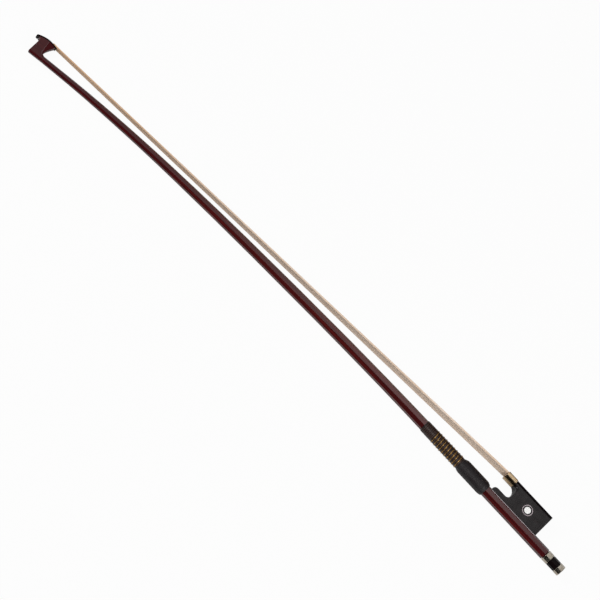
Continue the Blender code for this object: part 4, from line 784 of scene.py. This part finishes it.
def white_backdrop_paper():
    # Matt white backdrop paper: seen straight it is white, it keeps the bow's soft shadow, and polished
    # pieces show it a little brighter than its own colour.
    material, tree, place = new_material("white_backdrop_paper")
    fibres = add(tree, "ShaderNodeTexNoise", Vector=place, Scale=900.0, Detail=3.0)
    tone = add(tree, "ShaderNodeValToRGB", {"stops": ((0.3, "#CBCBCA"), (0.7, "#D2D2D1"))}, Fac=fibres)
    matt = add(tree, "ShaderNodeBsdfDiffuse", Color=tone)
    glow = add(tree, "ShaderNodeEmission", Color=(1.0, 1.0, 1.0, 1.0), Strength=1.0)
    rays = add(tree, "ShaderNodeLightPath")
    straight = add(tree, "ShaderNodeMath", {"operation": "MAXIMUM"}, Value=rays.outputs["Is Camera Ray"],
                   Value_001=rays.outputs["Is Transmission Ray"])
    straight = add(tree, "ShaderNodeMath", {"operation": "MULTIPLY"}, Value=straight,
                   Value_001=STRAIGHT_WHITE)
    mirrored = add(tree, "ShaderNodeMath", {"operation": "MULTIPLY"}, Value=rays.outputs["Is Glossy Ray"],
                   Value_001=MIRRORED_WHITE)
    share = add(tree, "ShaderNodeMath", {"operation": "MAXIMUM"}, Value=straight, Value_001=mirrored)
    both = add(tree, "ShaderNodeMixShader", Fac=share, Shader=matt, Shader_001=glow)
    add(tree, "ShaderNodeOutputMaterial", Surface=both)
    return material


def lay_floor():
    bpy.ops.object.select_all(action="DESELECT")
    bpy.ops.mesh.primitive_plane_add(size=6.0, location=(0.0, 0.0, -0.0002))
    floor = bpy.context.object
    floor.name = "floor"
    floor.data.materials.append(white_backdrop_paper())


def set_world():
    """A strip of soft light overhead in a dim room, in front of a white backdrop."""
    world = bpy.data.worlds.new("studio")
    bpy.context.scene.world = world
    world.use_nodes = True
    tree = world.node_tree
    tree.nodes.clear()
    direction = add(tree, "ShaderNodeTexCoord").outputs["Generated"]
    overhead = add(tree, "ShaderNodeVectorMath", {"operation": "DOT_PRODUCT"}, Vector=direction,
                   Vector_001=(0.0, -0.05, 0.9987)).outputs["Value"]
    soft = add(tree, "ShaderNodeMapRange", {"interpolation_type": "SMOOTHSTEP"}, Value=overhead,
               From_Min=0.62, From_Max=0.86, To_Min=0.02, To_Max=2.3)
    # The light is a strip that hangs across the bow: strongest above the grip, and weaker to both ends
    along = add(tree, "ShaderNodeSeparateXYZ", Vector=direction).outputs["X"]
    along = add(tree, "ShaderNodeMapRange", Value=along, From_Min=-0.1, From_Max=0.1, To_Min=0.0, To_Max=1.0)
    strip = add(tree, "ShaderNodeValToRGB", {"stops": (
        (0.05, "#767676"), (0.25, "#909090"), (0.42, "#B4B4B4"), (0.58, "#B4B4B4"), (0.66, "#FFFFFF"),
        (0.76, "#FFFFFF"), (0.83, "#B8B8B8"), (0.88, "#A0A0A0"), (0.92, "#A0A0A0"),
        (0.97, "#303030"))}, Fac=along)
    soft = add(tree, "ShaderNodeMath", {"operation": "MULTIPLY"}, Value=soft, Value_001=strip)
    room = add(tree, "ShaderNodeBackground", Color=(1.0, 1.0, 1.0, 1.0), Strength=soft)
    backdrop = add(tree, "ShaderNodeBackground", Color=(1.0, 1.0, 1.0, 1.0), Strength=1.0)
    rays = add(tree, "ShaderNodeLightPath")
    both = add(tree, "ShaderNodeMixShader", Fac=rays.outputs["Is Camera Ray"], Shader=room,
               Shader_001=backdrop)
    add(tree, "ShaderNodeOutputWorld", Surface=both)


def hang_lamp(name, place):
    """A soft square lamp that looks at the middle of the bow."""
    bpy.ops.object.light_add(type="AREA", location=place)
    lamp = bpy.context.object
    lamp.name = name
    lamp.data.shape = "RECTANGLE"
    lamp.data.size = lamp.data.size_y = LAMP_SIDE
    lamp.data.energy = LAMP_POWER
    lamp.rotation_euler = (-Vector(place)).to_track_quat("-Z", "Y").to_euler()


def set_camera():
    """It looks down on the bow from the stick's side, as the photograph does, and is rolled to the right."""
    back = Vector((0.0, -math.cos(CAMERA_ELEVATION), math.sin(CAMERA_ELEVATION)))
    level = Vector((1.0, 0.0, 0.0))
    rise = back.cross(level)
    right = level * math.cos(CAMERA_ROLL) + rise * math.sin(CAMERA_ROLL)
    up = back.cross(right)
    data = bpy.data.cameras.new("camera")
    data.sensor_width = 36.0
    data.lens = data.sensor_width * CAMERA_DISTANCE / PICTURE_WIDTH
    camera = bpy.data.objects.new("camera", data)
    bpy.context.scene.collection.objects.link(camera)
    turn = Matrix((right, up, back)).transposed().to_4x4()
    camera.matrix_world = Matrix.Translation(Vector(PICTURE_MIDDLE) + back * CAMERA_DISTANCE) @ turn
    bpy.context.scene.camera = camera


lay_floor()
set_world()
hang_lamp("left_lamp", (-1.2, -0.4, 1.0))
hang_lamp("right_lamp", (1.2, -0.4, 1.0))
set_camera()
bpy.context.scene.view_settings.view_transform = "Standard"
